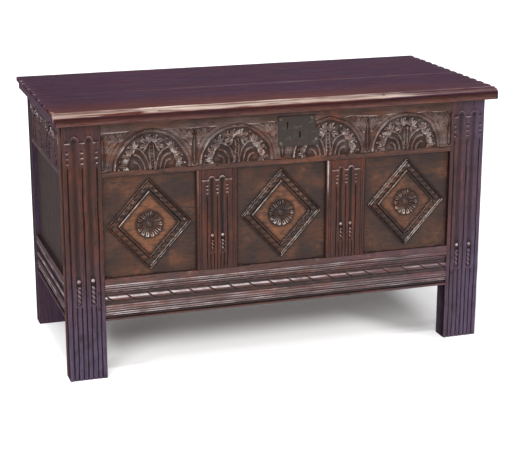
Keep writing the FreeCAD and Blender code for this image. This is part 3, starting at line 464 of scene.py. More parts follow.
def lunettes(x, z, places):
    """Depth of a carved rail: each lunette is drawn about its base centre, its leafwork standing from sunk
    ground under a round arch with a quirk outside it. Also returns where dust lies on the leaves, and painted
    highlights on the arch's left flank, the pearls, the studs, the top line and in glints over the leafwork."""
    centre = np.array(places)[np.abs(np.abs(x)[:, None] - places).argmin(axis=1)]
    p = (np.sign(x) * (np.abs(x) - centre))[:, None] + 1.6 * wander(x, z, 30, 30, 23)
    q = (z - lunette_base)[None, :] + 1.4 * wander(x, z, 30, 30, 24)
    r = np.hypot(p, q)
    inside = (r < lunette_radius - arch_half) & (q > 0)
    leaves, pearls, standing = leafwork(p, q)
    spandrel, leaf, stud = spandrels(p, q)
    outside = np.where(r > lunette_radius + arch_half, spandrel, 0)
    depth = np.where(inside, ground_depth - relief * standing, outside)
    arch = dome((r - lunette_radius) / 3.0)
    quirk = 3.4 * bell((r - lunette_radius - 5.4) / 1.7)
    arched = np.where(arch > 0, 4.0 * (1 - arch), np.maximum(depth, quirk))
    depth = np.where(q > 0, arched, depth)
    sill = 2.2 * bell((q + 1) / 1.6)
    dusted = np.maximum(np.where(inside, leaves + 0.5 * standing, 0), 0.5 * leaf * (r > lunette_radius + 5))
    left_flank = ease(0.35, 0.85, -p / (r + 1)) * (r < lunette_radius + 1)
    glint = np.clip(0.9 * wander(x, z, 5, 5, 28) - 0.9, 0, 1) * standing
    painted_light_and_rub = 0.8 * arch ** 2 * (q > 0) * left_flank + (0.8 * pearls + glint) * inside + 0.7 * stud
    painted_light_and_rub = painted_light_and_rub + 0.8 * bell((q - 101.5) / 1.3) * (r > lunette_radius + 3)
    return np.maximum(depth, sill), dusted, painted_light_and_rub


def darts(x, z, places):
    """Depth of darts between the lunettes: spindles, widest a third of the way up, with a rib in the middle.
    Also returns where they lie."""
    off = np.min([np.abs(np.abs(x) - place) for place in places], axis=0)[:, None]
    rise = np.clip((z - lunette_base - 2) / 100, 0, 1)[None, :]
    spindle = 9.5 * np.sin(np.pi * rise ** 0.6) ** 0.8
    cut = 4.4 * (1 - ease(spindle - 1.6, spindle, off)) * (spindle > 1.8)
    rib = 3.2 * dome(off / 2.2) ** 2 * (spindle > 4)
    return cut - np.minimum(rib, cut), off < spindle + 1


def over(x, z, xs, zs):
    """Whether a point lies over a rectangle, given by its two ends each way."""
    return (x > xs[0]) & (x < xs[1]) & (z > zs[0]) & (z < zs[1])


rail_x = np.linspace(-inner_x, inner_x, 762)
top_z = np.linspace(opening_high, carcase_height, 113)
X, Z = np.meshgrid(rail_x, top_z, indexing="ij")
dart_cut, on_dart = darts(rail_x, top_z, (0, dart_place, inner_x - dart_inset))
leaf_depth, dusted, painted_light_and_rub = lunettes(rail_x, top_z, lunette_places)
depth = np.where(on_dart, dart_cut, leaf_depth)
depth = depth + 0.45 + 0.2 * wander(rail_x, top_z, 120, 25, 21) + 0.12 * wander(rail_x, top_z, 3, 3, 22)
depth = depth + arris(top_z, opening_high, carcase_height, 2.2)

# The lock's seat, a millimetre wider than its plate all round, the pockets for its works and its key, and the
# notch that shows where the plate has lost a corner.
seat = over(X, Z, (-15.0, 103.0), (599.0, 683.0)) & ~((X > 92.0) & (Z > 648.0))
pockets = over(X, Z, (-7.0, 85.0), (637.2, 666.3)) | over(X, Z, (33.5, 61.5), (616.0, 642.0))
notch = over(X, Z, (89.0, 100.0), (645.0, 661.0)) & ((X < 94.5) | (Z < 650.0))
seat_depth = 1.75
pocket_depth = 13.0
notch_depth = 5.5
depth = np.where(seat, seat_depth, np.where(notch, notch_depth, depth))
depth = np.where(pockets, pocket_depth, depth)

dusted = dusted * (0.1 + 0.8 * ease(-0.6, 1.4, wander(rail_x, top_z, 9, 8, 25)))
misted = 0.3 * ease(-1, 1.5, wander(rail_x, top_z, 45, 18, 27))
misted = misted * ease(566, 569, Z) * (1 - 0.6 * ease(666, 669, Z))
broken = 0.55 + 0.6 * wander(rail_x, top_z, 20, 12, 26)
# Painted shade: the strip below the lunettes and the top under the lid's overhang are darkened.
painted_rail_shade = 0.4 * (1 - ease(565, 569, Z)) + 0.25 * ease(670, 675, Z)
painted_light_and_rub = painted_light_and_rub * broken * ~(seat | on_dart) - painted_rail_shade
top_rail = board("carved_front_top_rail", (0, front_face, 0), level, rail_x, top_z, depth, rail_thickness,
                 (carved_oak, carved_oak, dry_oak[0]), np.maximum(dusted, misted), painted_light_and_rub)
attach(top_rail, "carcase")
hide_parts("front_top_rail")


# Front bottom rail
# An oak board tenoned between the stiles, run with moulding planes: beads, coves and an ovolo.
# The middle bead is cut into a cable with a gouge, and the top arris is chamfered under each panel.

foot_height = 160.0
bay_width = 252.67
muntin_width = 115.0
muntin_x = (bay_width + muntin_width) / 2
moulding_depth = 6.0
cable_z = 220.8
cable_half = 9.0
twist_pitch = 56.5
chamfer_depth = 7.0
chamfer_height = 13.0
line_pitch = 6.4
# Members from the top edge down: height as a share of the rail; start, end and swell as shares of the depth.
moulding_members = ((0.14, 0.0, 0.0, 0.0), (0.08, 0.35, 0.35, 0.35), (0.04, 0.6, 0.6, 0.0),
                    (0.15, 0.5, 1.0, -0.3), (0.14, 1.0, 1.0, 1.0), (0.07, 0.85, 0.85, 0.0),
                    (0.15, 0.85, 0.15, 0.4), (0.08, 0.45, 0.45, 0.0), (0.10, 0.5, 1.0, -0.3),
                    (0.05, 0.15, 0.15, 0.0))
# Painted highlight lines on the mouldings, counted up from the floor: half width in mm and share.
painted_highlight_lines = {40.5: (1.6, 0.6), 39.5: (1.4, 0.35), 38.5: (1.4, 0.35), 37.5: (1.4, 0.3), 31.5: (1.4, 0.35),
                30.5: (1.4, 0.25), 29.5: (1.4, 0.3), 28.5: (1.6, 0.5), 27.5: (1.6, 0.5), 26.5: (1.4, 0.35)}
# The front's oak where cloths have polished it: the same brown, a brighter shine, silvery painted highlights.
level_finish = dict(frame_finish, face="#4f3530", warm="#6c3f33", wear_and_painted_light="#cfc3c6", shine=0.35)
level_oak = waxed_oak("waxed_oak_level", 0, **level_finish)


def run_moulding(z):
    """Depth of the run mouldings by height: each member is a parabola from start to end, swollen outwards."""
    heights, depths = [], []
    top = opening_low
    t = np.linspace(0.01, 0.99, 15)
    for share, start, end, swell in moulding_members:
        height = share * (opening_low - foot_height)
        heights.append(top - t * height)
        depths.append(moulding_depth * (start + (end - start) * t - 4 * swell * t * (1 - t)))
        top = top - height
    return np.interp(z, np.concatenate(heights)[::-1], np.concatenate(depths)[::-1])


def scratched(z):
    """Depth of the fine lines scratched on the members: a cosine over the height, kept to two bands."""
    lined = ease(230, 234, z) * (1 - ease(264, 268, z)) + (1 - ease(200, 206, z)) * ease(163, 166, z)
    return 0.8 * np.cos(2 * np.pi * z / line_pitch) * lined


bottom_x = np.linspace(-inner_x, inner_x, 560)
bottom_z = np.linspace(foot_height, opening_low, 106)
X, Z = np.meshgrid(bottom_x, bottom_z, indexing="ij")
off_twist = (np.mod((X + 1.3 * (Z - cable_z)) / twist_pitch, 1) - 0.5) * twist_pitch
cable = 3.6 * bell(off_twist / 3.2) * dome((Z - cable_z) / cable_half)
bay_off = np.abs(np.abs(X) - np.where(np.abs(X) < muntin_x, 0, bay_width + muntin_width))
run_out = 1 - ease(bay_width / 2 - 34, bay_width / 2 - 6, bay_off)
chamfer = chamfer_depth * np.clip((Z - opening_low + chamfer_height) / chamfer_height, 0, 1) * run_out
depth = (run_moulding(bottom_z) + scratched(bottom_z))[None, :] + cable + chamfer + 0.55
depth = depth + 0.2 * wander(bottom_x, bottom_z, 90, 12, 31) + 0.25 * wander(bottom_x, bottom_z, 14, 4, 32)
depth = depth + arris(bottom_z, foot_height, opening_low, 2.0)
# Painted highlights: a line on the cable's upper flank and on the fine lines, strongest at the left, fading
# to the right, where the cable's are dulled.
painted_light_and_rub = 2.1 * bell((Z - cable_z - 4.0) / 1.5)
for count, (line_half, share) in painted_highlight_lines.items():
    painted_light_and_rub = painted_light_and_rub + share * bell((Z - count * line_pitch) / line_half)
fading = 0.88 - 0.64 * X / inner_x + 0.4 * wander(bottom_x, bottom_z, 60, 4, 33)
dulled = 1 - 0.8 * ease(-150, 300, X) * (np.abs(Z - cable_z) < cable_half + 1)
painted_light_and_rub = painted_light_and_rub * np.clip(fading, 0, None) * dulled * (cable < 1)
# The violet tint that grows towards the right end is painted shade.
bottom_rail = board("moulded_front_bottom_rail", (0, front_face, 0), level, bottom_x, bottom_z, depth,
                    rail_thickness, (level_oak, level_oak, dry_oak[0]), 0.28 * ease(0, 480, X), painted_light_and_rub)
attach(bottom_rail, "carcase")
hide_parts("front_bottom_rail")


# End rails
# Short oak rails tenoned between the front and rear stiles.
# The top ones are carved with two lunettes, the bottom ones have the front's mouldings without the cable.

end_half = 213.0
highlighted_members = (259.2, 246.4, cable_z + 3, 195.2, 182.4, 169.6)
# Waxed oak seldom handled: a dull violet brown, with a pale colour for painted highlights on carving and
# mouldings.
end_finish = dict(frame_finish, face="#504044", warm="#543e3e", dusk="#463b41", wear_and_painted_light="#d8ccd2", rough=0.46,
                  shine=0.005)
end_oak = waxed_oak("waxed_oak_end", 1, **end_finish)
end_y = np.linspace(-end_half, end_half, 330)
end_bottom_y = np.linspace(-end_half, end_half, 120)
dart_cut, on_dart = darts(end_y, top_z, (0, end_half - dart_inset))
end_carving = np.where(on_dart, dart_cut, lunettes(end_y, top_z, (end_half / 2,))[0])
# Painted highlights where the carving slopes towards the front, in its upper part.
front_facing_highlight = ease(0.35, 1.0, -np.gradient(end_carving, end_y, axis=0)) * ease(628, 652, top_z)
end_moulding = run_moulding(bottom_z) + scratched(bottom_z) + arris(bottom_z, foot_height, opening_low, 2.0)
# Painted highlights along the members of the end mouldings.
moulding_highlights = sum(bell((bottom_z - line) / 1.8) for line in highlighted_members)

for end_name, side, seed in (("left", -1, 41), ("right", 1, 42)):
    corner = (side * half_width, 0, 0)
    axes = ((0, 1, 0), (0, 0, 1), (-side, 0, 0))
    depth = end_carving + 0.5 + 0.2 * wander(end_y, top_z, 90, 20, seed)
    depth = depth + arris(top_z, opening_high, carcase_height, 2.2)
    painted_light_and_rub = 1.4 * front_facing_highlight * ease(-0.5, 0.5, wander(end_y, top_z, 30, 14, seed + 4))
    rail = board("carved_" + end_name + "_top_rail", corner, axes, end_y, top_z, depth, rail_thickness,
                 (end_oak, end_oak, dry_oak[1]), 0, painted_light_and_rub)
    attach(rail, "carcase")
    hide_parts(end_name + "_top_rail")
    depth = end_moulding[None, :] + 0.6 + 0.2 * wander(end_bottom_y, bottom_z, 90, 12, seed + 2)
    painted_light_and_rub = moulding_highlights * (0.28 + 0.25 * wander(end_bottom_y, bottom_z, 50, 5, seed + 6))
    rail = board("moulded_" + end_name + "_bottom_rail", corner, axes, end_bottom_y, bottom_z, depth,
                 rail_thickness, (end_oak, end_oak, dry_oak[1]), 0, painted_light_and_rub)
    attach(rail, "carcase")
    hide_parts(end_name + "_bottom_rail")


# Front muntins
# Two short uprights tenoned between the rails, 115 by 30 mm, fluted like the stiles on a smaller scale.
# A quirked moulding runs down each edge, and a row of gouge ticks marks the foot.

muntin_half = muntin_width / 2
muntin_thickness = 30.0
quirk_places = (43.5, 49.0)
tick_pitch = 6.5
muntin_cut = dict(pitch=28.0, hollow=7.5, deep=3.6, crest=525.0, arch=10.0, outer=42.0, stop=369.5,
                  reed_foot=327.0, line=1.9, line_deep=2.3, line_top=487.0, nicks=(511.0, 501.0, 491.0),
                  nick=3.6, bed=5.8, pearl=5.2, twist=10.5)
muntin_z = np.linspace(opening_low, opening_high, 262)
muntin_u = np.linspace(-muntin_half, muntin_half, 112)
edge = np.abs(muntin_u)[None, :]
quirks = np.max([1.8 * bell((edge - place) / 1.3) for place in quirk_places], axis=0)
rounded = 4.5 * ease(52, muntin_half, edge)
ticks = 1.3 * (0.5 + 0.5 * np.cos(2 * np.pi * muntin_u / tick_pitch))[None, :]
ticks = ticks * (1 - ease(281, 286, muntin_z))[:, None]
# A painted highlight along the upper part of the left edge, strong on the right muntin, weak on the left.
left_edge_highlight = bell((muntin_u + 53) / 2.5)[None, :] * ease(430, 540, muntin_z)[:, None]

for side_name, side, seed in (("left", -1, 51), ("right", 1, 52)):
    depth, painted_light_and_rub = fluting(muntin_z, muntin_u, SimpleNamespace(seed=seed, **muntin_cut))
    depth = np.maximum(np.maximum(depth, quirks) + rounded, ticks)
    depth = depth + 0.45 + 0.2 * wander(muntin_z, muntin_u, 80, 20, seed)
    painted_light_and_rub = painted_light_and_rub + (0.6 + 0.4 * side) * left_edge_highlight
    muntin = board("carved_front_" + side_name + "_muntin", (side * muntin_x, front_face, 0), upright,
                   muntin_z, muntin_u, depth, muntin_thickness, (upright_oak, upright_oak, dry_oak[2]),
                   rub_and_painted_light=painted_light_and_rub)
    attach(muntin, "carcase")
    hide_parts("front_" + side_name + "_muntin")


# Front panels
# Three oak boards held loose in the grooves of the frame, their grain across, thinned at the back to fit.
# Each has a lozenge of two beads with a nicked band between, and a dished rosette, cut from the solid.

panel_setback = 14.3
panel_lap = 6.0
panel_thickness = 12.4
panel_edge = 7.4
panel_bevel = 34.0
panel_middle = (opening_low + opening_high) / 2
lozenge_half = (115.3, 125.5)
lozenge_band = 27.0
lozenge_nick = 19.0
rosette_radius = 36.0
boss_radius = 9.0
petals = 14
# Waxed oak, mottled: near black with tawny patches, warmest inside the lozenge, a low shine, pale painted
# highlights.
panel_oak = waxed_oak("waxed_oak_panel", 0, face="#33231f", warm="#4c2e21", dusk="#2a2425", tint_colour="#784d35",
                      hollow="#140c0a", wear_and_painted_light="#b3a69f", grime=0.8, rough=0.24, shine=0.25, streaky=0.4,
                      patch=(24, 16))
panel_x = np.linspace(-bay_width / 2 - panel_lap, bay_width / 2 + panel_lap, 214)
panel_z = np.linspace(opening_low - panel_lap, opening_high + panel_lap, 232)


def lozenge(x, z, inner_highlight, outer_highlight):
    """Height of the lozenge, where its inside lies, and painted highlights on its beads at the lower right
    and upper left and on the nicks' edges in its upper half. The distance in from the sides is one sum of
    shares for all four, and the band's section over it is a stepped bead, a nicked hollow and a bead."""
    x, z = x[:, None], z[None, :]
    wide, tall = lozenge_half
    reach = wide * tall / math.hypot(wide, tall)
    inwards = reach * (1 - np.abs(x) / wide - np.abs(z) / tall)
    lengthwise = (np.abs(x) * wide - np.abs(z) * tall) / math.hypot(wide, tall)
    outer_step = dome((inwards - 2) / 2.0)
    outer_bead = dome((inwards - 7.2) / 2.2)
    inner_bead = dome((inwards - 24) / 2.6)
    beat = 0.5 + 0.5 * np.cos(2 * np.pi * (lengthwise + 0.7 * (inwards - 14)) / lozenge_nick)
    nicked = (1.4 + 1.6 * ease(0.2, 0.6, beat)) * ease(8, 9.5, inwards) * (1 - ease(18.5, 20, inwards))
    height = np.max([4.6 * outer_bead, 4.0 * outer_step, 4.8 * inner_bead, nicked], axis=0)
    outer = outer_bead ** 4 + outer_step ** 4
    painted_light_and_rub = (inner_highlight * inner_bead ** 5 + outer_highlight * outer) * (x < 0) * (z > 0)
    painted_light_and_rub = painted_light_and_rub + (0.45 + 0.3 * outer_highlight) * outer * (x > 0) * (z < 0)
    nick_edge = ease(0.6, 0.9, beat) * ease(8, 9.5, inwards) * (1 - ease(11, 13, inwards))
    painted_light_and_rub = painted_light_and_rub + 0.25 * nick_edge * (z > 0)
    return height, ease(lozenge_band - 1, lozenge_band + 4, inwards), painted_light_and_rub


def rosette(x, z):
    """Height of the rosette in polar measure: petals rising to a scalloped rim, parted by cuts, about a domed
    boss. Also returns its painted highlights, on ridges in patches and on the rim's petals towards the lower
    left, over a darkening of the whole rosette."""
    patchy = np.clip(0.4 + 0.4 * wander(x, z, 9, 9, 65), 0, 0.9)
    x, z = x[:, None], z[None, :]
    r = np.hypot(x, z)
    angle = np.arctan2(z, x)
    turn = np.mod(angle / (2 * np.pi / petals) + 0.5, 1) - 0.5
    rim = rosette_radius * (1 - 0.4 * turn ** 2)
    dish = (1.0 + 6.5 * np.clip(r / rim, 0, 1) ** 3) * (1 - ease(rim - 1.8, rim, r))
    cut = 4.0 * bell((0.5 - np.abs(turn)) * r * 0.52 / 1.4) * ease(9, 14, r)
    fold = 1.6 * bell(turn * r * 0.52 / 1.2) * ease(12, 18, r)
    height = np.maximum(dish - cut - fold, 6.5 * dome(r / boss_radius))
    lit = 1.6 * ease(0.8, 0.92, r / rim) * ease(0.3, 0.9, np.cos(angle + 2.0)) * (np.abs(turn) < 0.3)
    ridge = patchy * (np.abs(np.abs(turn) - 0.25) < 0.12) * ease(8, 14, r)
    return height, (ridge + lit - 0.3) * (1 - ease(rim - 1, rim + 1, r))


# The painted highlights on the lozenge's inner bead wane from left to right, those on its outer beads grow.
for side_name, side, inner_highlight, outer_highlight, seed in (("left", -1, 0.8, 0.1, 61), ("middle", 0, 0.7, 0.3, 62),
                                                      ("right", 1, 0.45, 0.65, 63)):
    height, field, painted_light_and_rub = lozenge(panel_x, panel_z - panel_middle, inner_highlight, outer_highlight)
    flower, rosette_highlight = rosette(panel_x, panel_z - panel_middle)
    painted_light_and_rub = painted_light_and_rub * (0.75 + 0.45 * wander(panel_x, panel_z, 14, 14, seed + 20)) + rosette_highlight
    depth = 0.4 + 0.3 * wander(panel_x, panel_z, 70, 24, seed) - np.maximum(height, flower)
    depth = depth + 0.15 * wander(panel_x, panel_z, 18, 5, seed + 5)
    mottled = 1 + 0.3 * wander(panel_x, panel_z, 7, 7, seed + 30)
    glow = (0.5 + 0.5 * np.clip(wander(panel_x, panel_z, 40, 44, seed + 9), -1, 1)) ** 2
    warmed = ((0.58 - 0.27 * side) * field * (flower < 0.2) + 0.34 * glow) * mottled
    back = back_points(panel_x, (panel_z[-1], panel_edge), (panel_z[-1] - panel_bevel, panel_thickness),
                       (panel_z[0] + panel_bevel, panel_thickness), (panel_z[0], panel_edge))
    corner = (side * (bay_width + muntin_width), front_face + panel_setback, 0)
    panel = board("carved_front_" + side_name + "_panel", corner, level, panel_x, panel_z, depth, back,
                  (panel_oak, panel_oak, dry_oak[0]), np.clip(warmed, 0, 1), painted_light_and_rub)
    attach(panel, "carcase")
    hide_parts("front_" + side_name + "_panel")


# End panels
# One plain oak board in each end, held loose in the grooves, its grain upright.
# Their own solids show, under a finish duller than the front's.

# Waxed oak out of the light: a flat brown black with hardly any shine.
end_panel_finish = dict(dull_finish, face="#413737", warm="#483935", dusk="#3a3337", tint_colour="#483935",
                        hollow="#1a1211", wear_and_painted_light="#8d7c78", grime=0.8)
end_panel_oak = waxed_oak("waxed_oak_end_panel", 2, **end_panel_finish)


def dress(names, finish):
    """Gives the solids of those nodes a finish, in all their material slots."""
    for name in names:
        for holder in nodes[name].material_slots:
            holder.material = finish


dress(("left_panel", "right_panel"), end_panel_oak)


# Back of the carcase
# Rails, muntins and panels of plain oak, tenoned and grooved like the front.
# Nobody saw them, so they were left dry, with no carving.

dress(("back_top_rail", "back_bottom_rail", "back_left_panel", "back_middle_panel", "back_right_panel"),
      dry_oak[0])
dress(("back_left_muntin", "back_right_muntin"), dry_oak[2])


# Pegs
# Cleft oak pegs driven through the tenons and cut off by eye, and the dowels in the lid's joint.
# They are darker than the timber round them, because end grain drinks the wax.

# End grain full of wax: nearly black, with a slight shine.
peg_oak = waxed_oak("peg_end_grain", 1, face="#2e211d", warm="#3a271f", dusk="#2a2222", tint_colour="#2e211d",
                    hollow="#120c0a", wear_and_painted_light="#5c4a42", grime=0.8, rough=0.42, shine=0.2)
dress(("front_pegs", "back_pegs", "left_pegs", "right_pegs", "lid_dowels"), peg_oak)


# Floor
# Six dry oak boards that run from front to back, rough from the saw.
# They are housed in the front rail and nailed up to the back rail.

floor_count = 6
dress(["floor_board_%d" % (index + 1) for index in range(floor_count)], dry_oak[1])


# Lid
# Two oak boards dowelled edge to edge. The front edge has an ovolo under a fillet, pale from wear and painted
# light.
# The ends have a lip over a cove, its arris nicked with a gouge. Battens underneath keep the boards flat.

lid_top = 731.0
lid_thickness = 33.7
lid_half = 619.0
lid_front = -293.0
lid_joint = -31.0
lid_back = 293.0
ovolo_width = 22.0
ovolo_drop = 15.0
fillet_drop = 3.0
lip_thickness = 12.0
cove_width = 6.0
cove_drop = 9.0
cove_start = 26.0
nick_pitch = 43.0
nick_radius = 13.0
nick_reach = 9.5
# The gap in mm between two stations or back points that make a sharp step.
step = 0.01
lid_axes = ((1, 0, 0), (0, 1, 0), (0, 0, -1))
lid_finish = dict(face="#483042", warm="#4f2e38", dusk="#3c2b46", tint_colour="#643a36", hollow="#1a1012",
                  wear_and_painted_light="#dbc7b9", grime=0.7, rough=0.45, shine=0.01, patch=(240, 9))
# Oak scrubbed and waxed flat: a matt violet brown with long streaks, redder where hands rest. The violet
# stands in for the sheen's cast: a painted reflection.
lid_oak = waxed_oak("polished_oak_lid", 0, **lid_finish)
# The edge below the ovolo, handled but less seen: the same streaks in a lighter brown.
nose_finish = dict(lid_finish, face="#674945", warm="#6b463c", dusk="#4e3a3c")
nose_oak = waxed_oak("handled_oak_lid_edge", 0, **nose_finish)
end_in = np.array([0, 0.5, 1.2, 2.2, 3.4, 4.6, 5.5, cove_width - step, cove_width + step, 7, 8, 10, 13, 17,
                   22])
lid_x = np.concatenate([end_in - lid_half, np.linspace(28 - lid_half, lid_half - 28, 340),
                        (lid_half - end_in)[::-1]])
nose_in = ovolo_width * (1 - np.cos(np.linspace(0, np.pi / 2, 16)))
front_y = np.concatenate([lid_front + nose_in, lid_front + ovolo_width + np.array([0.6, 2]),
                          np.linspace(lid_front + 27, lid_joint - 6, 112), lid_joint - np.linspace(4, 0, 5)])
rear_y = np.concatenate([lid_joint + np.linspace(0, 4, 5), np.linspace(lid_joint + 8, lid_back - 5, 150),
                         lid_back - np.linspace(4, 0, 6)])


def ovolo(inwards):
    """Depth of the moulded edge by distance in from it: a quarter ellipse, a fillet, then the flat top."""
    t = np.clip(1 - inwards / ovolo_width, 0, 1)
    curve = fillet_drop + (ovolo_drop - fillet_drop) * (1 - np.sqrt(1 - t * t))
    return curve * (1 - ease(ovolo_width - 0.5, ovolo_width + 0.5, inwards))


def end_nicks(x, y):
    """Depth of the gouge nicks: a round scoop cut at 45 degrees across the top arris of each end.
    Also returns how far a point lies behind the middle of its nick."""
    off = (np.mod(y / nick_pitch + 0.5, 1) - 0.5) * nick_pitch
    scoop = nick_radius - np.sqrt(np.clip(nick_radius ** 2 - off ** 2, 0, None))
    inwards = lid_half - np.abs(x)
    return np.clip(nick_reach - math.sqrt(2) * scoop[None, :] - inwards[:, None], 0, None), off[None, :]


def lid_face(x, y, seed):
    """Depth of a lid board: nicked and rounded ends, slow hollows of wear, scratches, and an eased joint."""
    wear = 0.5 + 0.35 * wander(x, y, 160, 60, seed) + 0.12 * wander(x, y, 40, 9, seed + 1)
    joint = 1.6 * bell((y - lid_joint) / 1.4)
    depth = np.clip(wear, 0.05, None) + joint[None, :] + arris(x, -lid_half, lid_half, 2.0)[:, None]
    return np.maximum(depth, end_nicks(x, y)[0])


def end_wear_and_highlight(x, y, seed):
    """Painted highlight and wear in each nick, most on its rear flank, wear along the joint, darker to the
    left.
    """
    nicks, off = end_nicks(x, y)
    speck = np.clip(0.55 + 0.5 * wander(x, y, 9, 30, seed), 0, 1.2)
    dusk = 0.22 * (1 - ease(-580, -300, x))[:, None]
    joint = 0.22 * bell((np.abs(y - lid_joint) - 2.5) / 1.5)[None, :]
    joint = joint * (0.8 + 0.4 * wander(x, y, 60, 60, seed + 2))
    return speck * ease(0.3, 2, nicks) * ease(-7, 3, off) + joint - dusk


def underside(x):
    """Depth of the underside by station: a lip, a quarter ellipse of cove, then the whole thickness."""
    inwards = lid_half - np.abs(x)
    t = np.clip(inwards / cove_width, 0, 1)
    cove = lip_thickness + cove_drop * (1 - np.sqrt(1 - t * t))
    return np.where(inwards < cove_width, cove, lid_thickness)


def past_cove(x):
    """Whether a station lies inwards of the cove under its end."""
    return lid_half - np.abs(x) > cove_width + 0.1


front_in = front_y - lid_front
on_nose = ease(4, 12, front_in) * (1 - ease(22, 30, front_in))
chips = 1.2 * np.clip(wander(lid_x, front_y, 12, 7, 73) - 1.9, 0, 2) * on_nose
depth = np.maximum(lid_face(lid_x, front_y, 71), ovolo(front_in)[None, :] + 0.4) + chips
cove_y = lid_front + cove_start
back = back_points(lid_x, (lid_joint, underside(lid_x)), (cove_y + step, underside(lid_x)),
                   (cove_y, lid_thickness), (lid_front + 4, lid_thickness),
                   (lid_front + 1.2, lid_thickness - 1.2), (lid_front, lid_thickness - 4))
handled = (1 - ease(20, 190, front_in))[None, :] * (1 - 0.6 * ease(100, 480, lid_x))[:, None]
# The pale streaks on the ovolo are wear with a painted highlight, fading towards the right end.
streaks = 0.85 + 0.35 * wander(lid_x, front_y, 150, 3.0, 74) + 0.25 * wander(lid_x, front_y, 36, 2.2, 76)
streaks = streaks * (1 - 0.85 * ease(160, 440, lid_x))[:, None]
painted_light_and_rub = streaks * ease(0, 2, front_in) * (1 - ease(21, 25, front_in)) - chips + end_wear_and_highlight(lid_x, front_y, 77)
front_board = board("moulded_lid_front_board", (0, 0, lid_top), lid_axes, lid_x, front_y, depth, back,
                    (lid_oak, nose_oak, dry_oak[0]), handled, painted_light_and_rub, inside=3, bare=past_cove(lid_x))
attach(front_board, "lid")
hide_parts("lid_front_board")

hinge_x = 357.0
hinge_room = 33.0
hinge_sink = 3.4
knuckle_front = 264.0
edges = np.array([side * hinge_x + end * hinge_room for side in (-1, 1) for end in (-1, 1)])
rear_x = np.sort(np.concatenate([lid_x, edges - step, edges + step]))
depth = lid_face(rear_x, rear_y, 75) + arris(rear_y, lid_joint - 50, lid_back, 3.0)
by_hinge = np.abs(np.abs(rear_x) - hinge_x) < hinge_room
under = np.where(by_hinge, lid_thickness - hinge_sink, underside(rear_x))
back = back_points(rear_x, (lid_back, under), (knuckle_front, under),
                   (knuckle_front - step, underside(rear_x)), (lid_joint, underside(rear_x)))
rear_board = board("worn_lid_rear_board", (0, 0, lid_top), lid_axes, rear_x, rear_y, depth, back,
                   (lid_oak, lid_oak, dry_oak[0]), 0, end_wear_and_highlight(rear_x, rear_y, 78), bare=past_cove(rear_x))
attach(rear_board, "lid")
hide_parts("lid_rear_board")

dress(("lid_left_batten", "lid_right_batten"), dry_oak[1])


# Ironwork
# Strap hinges, lock plate, lock works and nails of wrought iron, forged and blackened at the fire.
# The straps, leaves and plate are nailed to the oak, and handling has rubbed them bright in places.

def wrought_iron(name, face, bright, rust):
    """Hammered iron: broad dents from the hammer, brown bloom in patches, and rubbed lighter spots."""
    material = bpy.data.materials.new(name)
    tree = bare_tree(material)
    place = add(tree, "TexCoord").outputs["Object"]
    grown = {}
    # Sizes in mm: hammer dents, patches of bloom, and a grit drawn coarser than real so that it shows.
    for part, size, detail in (("dent", 14, 1), ("bloom", 22, 4), ("grit", 1.6, 2)):
        noise = {"Vector": place, "Scale": 1 / (size * mm), "Detail": detail}
        grown[part] = add(tree, "TexNoise", noise)
    bloom = add(tree, "MapRange", [grown["bloom"], 0.45, 0.65, 0.0, 1.0])
    spots = add(tree, "MapRange", [grown["dent"], 0.58, 0.72, 0.0, 0.6])
    tone = colour(face)
    for share, laid in ((bloom, rust), (spots, bright)):
        tone = add(tree, "Mix", {0: share, 6: tone, 7: colour(laid)}, data_type="RGBA")
    rough = add(tree, "MapRange", [grown["bloom"], 0.3, 0.7, 0.4, 0.65])
    hammered = add(tree, "Math", [grown["dent"], grown["grit"]], operation="ADD")
    bump = add(tree, "Bump", {"Strength": 0.4, "Distance": 0.6 * mm, "Height": hammered})
    look = {"Base Color": tone, "Roughness": rough, "Normal": bump, "Metallic": 0.55}
    add(tree, "OutputMaterial", {"Surface": add(tree, "BsdfPrincipled", look)})
    return material


# Iron with its black scale: dark and uneven, half metal and half bloom to the eye.
dark_iron = wrought_iron("wrought_iron", "#332d2b", "#524b45", "#3d2f27")
# Nail heads, rubbed by every hand that passes: a lighter grey.
nail_iron = wrought_iron("wrought_nail_iron", "#55504c", "#8f8983", "#4f4239")
dress(("left_hinge_strap", "right_hinge_strap", "left_hinge_leaf", "right_hinge_leaf", "left_hinge_pin",
       "right_hinge_pin", "lock_plate", "lock_bolt", "lock_bolt_guides", "lock_spring"), dark_iron)
dress(("floor_nails", "batten_nails", "hinge_strap_nails", "hinge_leaf_nails", "lock_nails"), nail_iron)


# Studio
# A pale seamless floor with painted light round a painted pool of shade under the chest, a broad soft key
# from the left and front, two smaller lamps, even light all round, and the camera. Places here are in metres.

floor_half = 40.0
# The strength of the paper's painted light for the eye.
painted_paper_light = 0.45
even_light = 0.36
# Where the painted shade under the chest gives way to the paper's painted light, from full shade to full
# light.
front_edge = (0.08, -0.16)
side_edge = (0.47, 0.62)
rear_edge = (0.25, 0.45)
# The painted shade reaches further forward by the right foot.
foot_edge = (0.28, 0.5)
foot_reach = 0.24


def seen_rays(tree):
    """1 for rays that see, from the camera, off a shine or through glass, and 0 for rays that light."""
    path = add(tree, "LightPath").outputs
    seen = path["Is Camera Ray"]
    for kind in ("Is Glossy Ray", "Is Transmission Ray"):
        seen = add(tree, "Math", [seen, path[kind]], operation="MAXIMUM")
    return seen


floor_mesh = bpy.data.meshes.new("studio_floor")
floor_corners = [(x * floor_half, y * floor_half, 0) for x, y in ((-1, -1), (1, -1), (1, 1), (-1, 1))]
floor_mesh.from_pydata(floor_corners, [], [(0, 1, 2, 3)])
floor = put("studio_floor", floor_mesh)

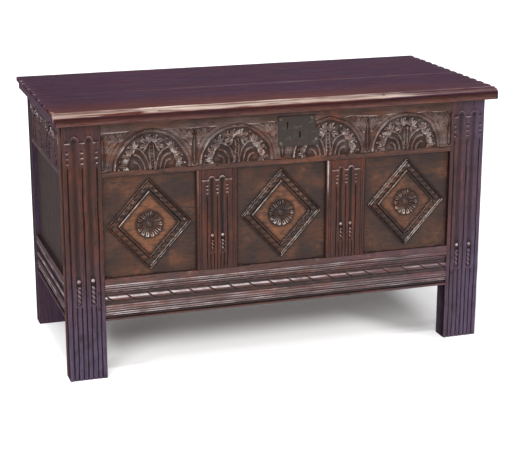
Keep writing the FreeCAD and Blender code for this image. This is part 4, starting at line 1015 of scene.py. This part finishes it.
# Matt white paper with the chest's shadow, lifted for the eye by painted light that fades out under the
# chest.
paper = bpy.data.materials.new("white_paper")
tree = bare_tree(paper)
matt = add(tree, "BsdfDiffuse", {"Color": colour("#fcfcfc")})
place = add(tree, "TexCoord").outputs["Object"]
way = add(tree, "SeparateXYZ", [place]).outputs
aside = add(tree, "Math", [way["X"]], operation="ABSOLUTE")
lean = add(tree, "MapRange", [way["X"], *foot_edge, 0.0, foot_reach], interpolation_type="SMOOTHSTEP")
ahead = add(tree, "Math", [way["Y"], lean], operation="ADD")
glow = 0.0
for measure, edge in ((ahead, front_edge), (aside, side_edge), (way["Y"], rear_edge)):
    lit = add(tree, "MapRange", [measure, *edge, 0.0, painted_paper_light], interpolation_type="SMOOTHSTEP")
    glow = add(tree, "Math", [glow, lit], operation="MAXIMUM")
painted_paper_glow = add(tree, "Emission", {"Color": colour("#ffffff"), "Strength": glow})
both = add(tree, "AddShader", [matt, painted_paper_glow])
paper_mix = add(tree, "MixShader", [seen_rays(tree), matt, both])
add(tree, "OutputMaterial", {"Surface": paper_mix})
floor_mesh.materials.append(paper)

world = bpy.data.worlds.new("studio")
bpy.context.scene.world = world
tree = bare_tree(world)
level_of_light = add(tree, "MapRange", [seen_rays(tree), 0.0, 1.0, even_light, 1.0])
sky = add(tree, "Background", {"Color": colour("#ffffff"), "Strength": level_of_light})
add(tree, "OutputWorld", {"Surface": sky})

# Each lamp: strength, apparent width in degrees, and where it stands as seen from the chest.
for name, strength, spread, stand in (("side_box", 2.15, 30, (-0.45, -0.79, 0.42)),
                                      ("side_spot", 0.6, 7, (-0.66, -0.41, 0.62)),
                                      ("overhead_spot", 0.85, 7, (-0.06, -0.38, 0.92))):
    lamp = bpy.data.lights.new(name, "SUN")
    lamp.angle = math.radians(spread)
    lamp.energy = strength
    put(name, lamp).rotation_euler = (-Vector(stand)).to_track_quat("-Z", "Y").to_euler()

camera_place = (-1.2219, -3.7618, 1.4417)
camera_tilt = 16.135
camera_turn = 18.141
camera = bpy.data.cameras.new("photo_view")
camera.lens = 99.76
camera.sensor_width = 36.0
viewer = put("photo_view", camera)
viewer.location = camera_place
viewer.rotation_euler = (math.radians(90 - camera_tilt), 0, math.radians(-camera_turn))
bpy.context.scene.camera = viewer
bpy.context.scene.view_settings.view_transform = "Standard"
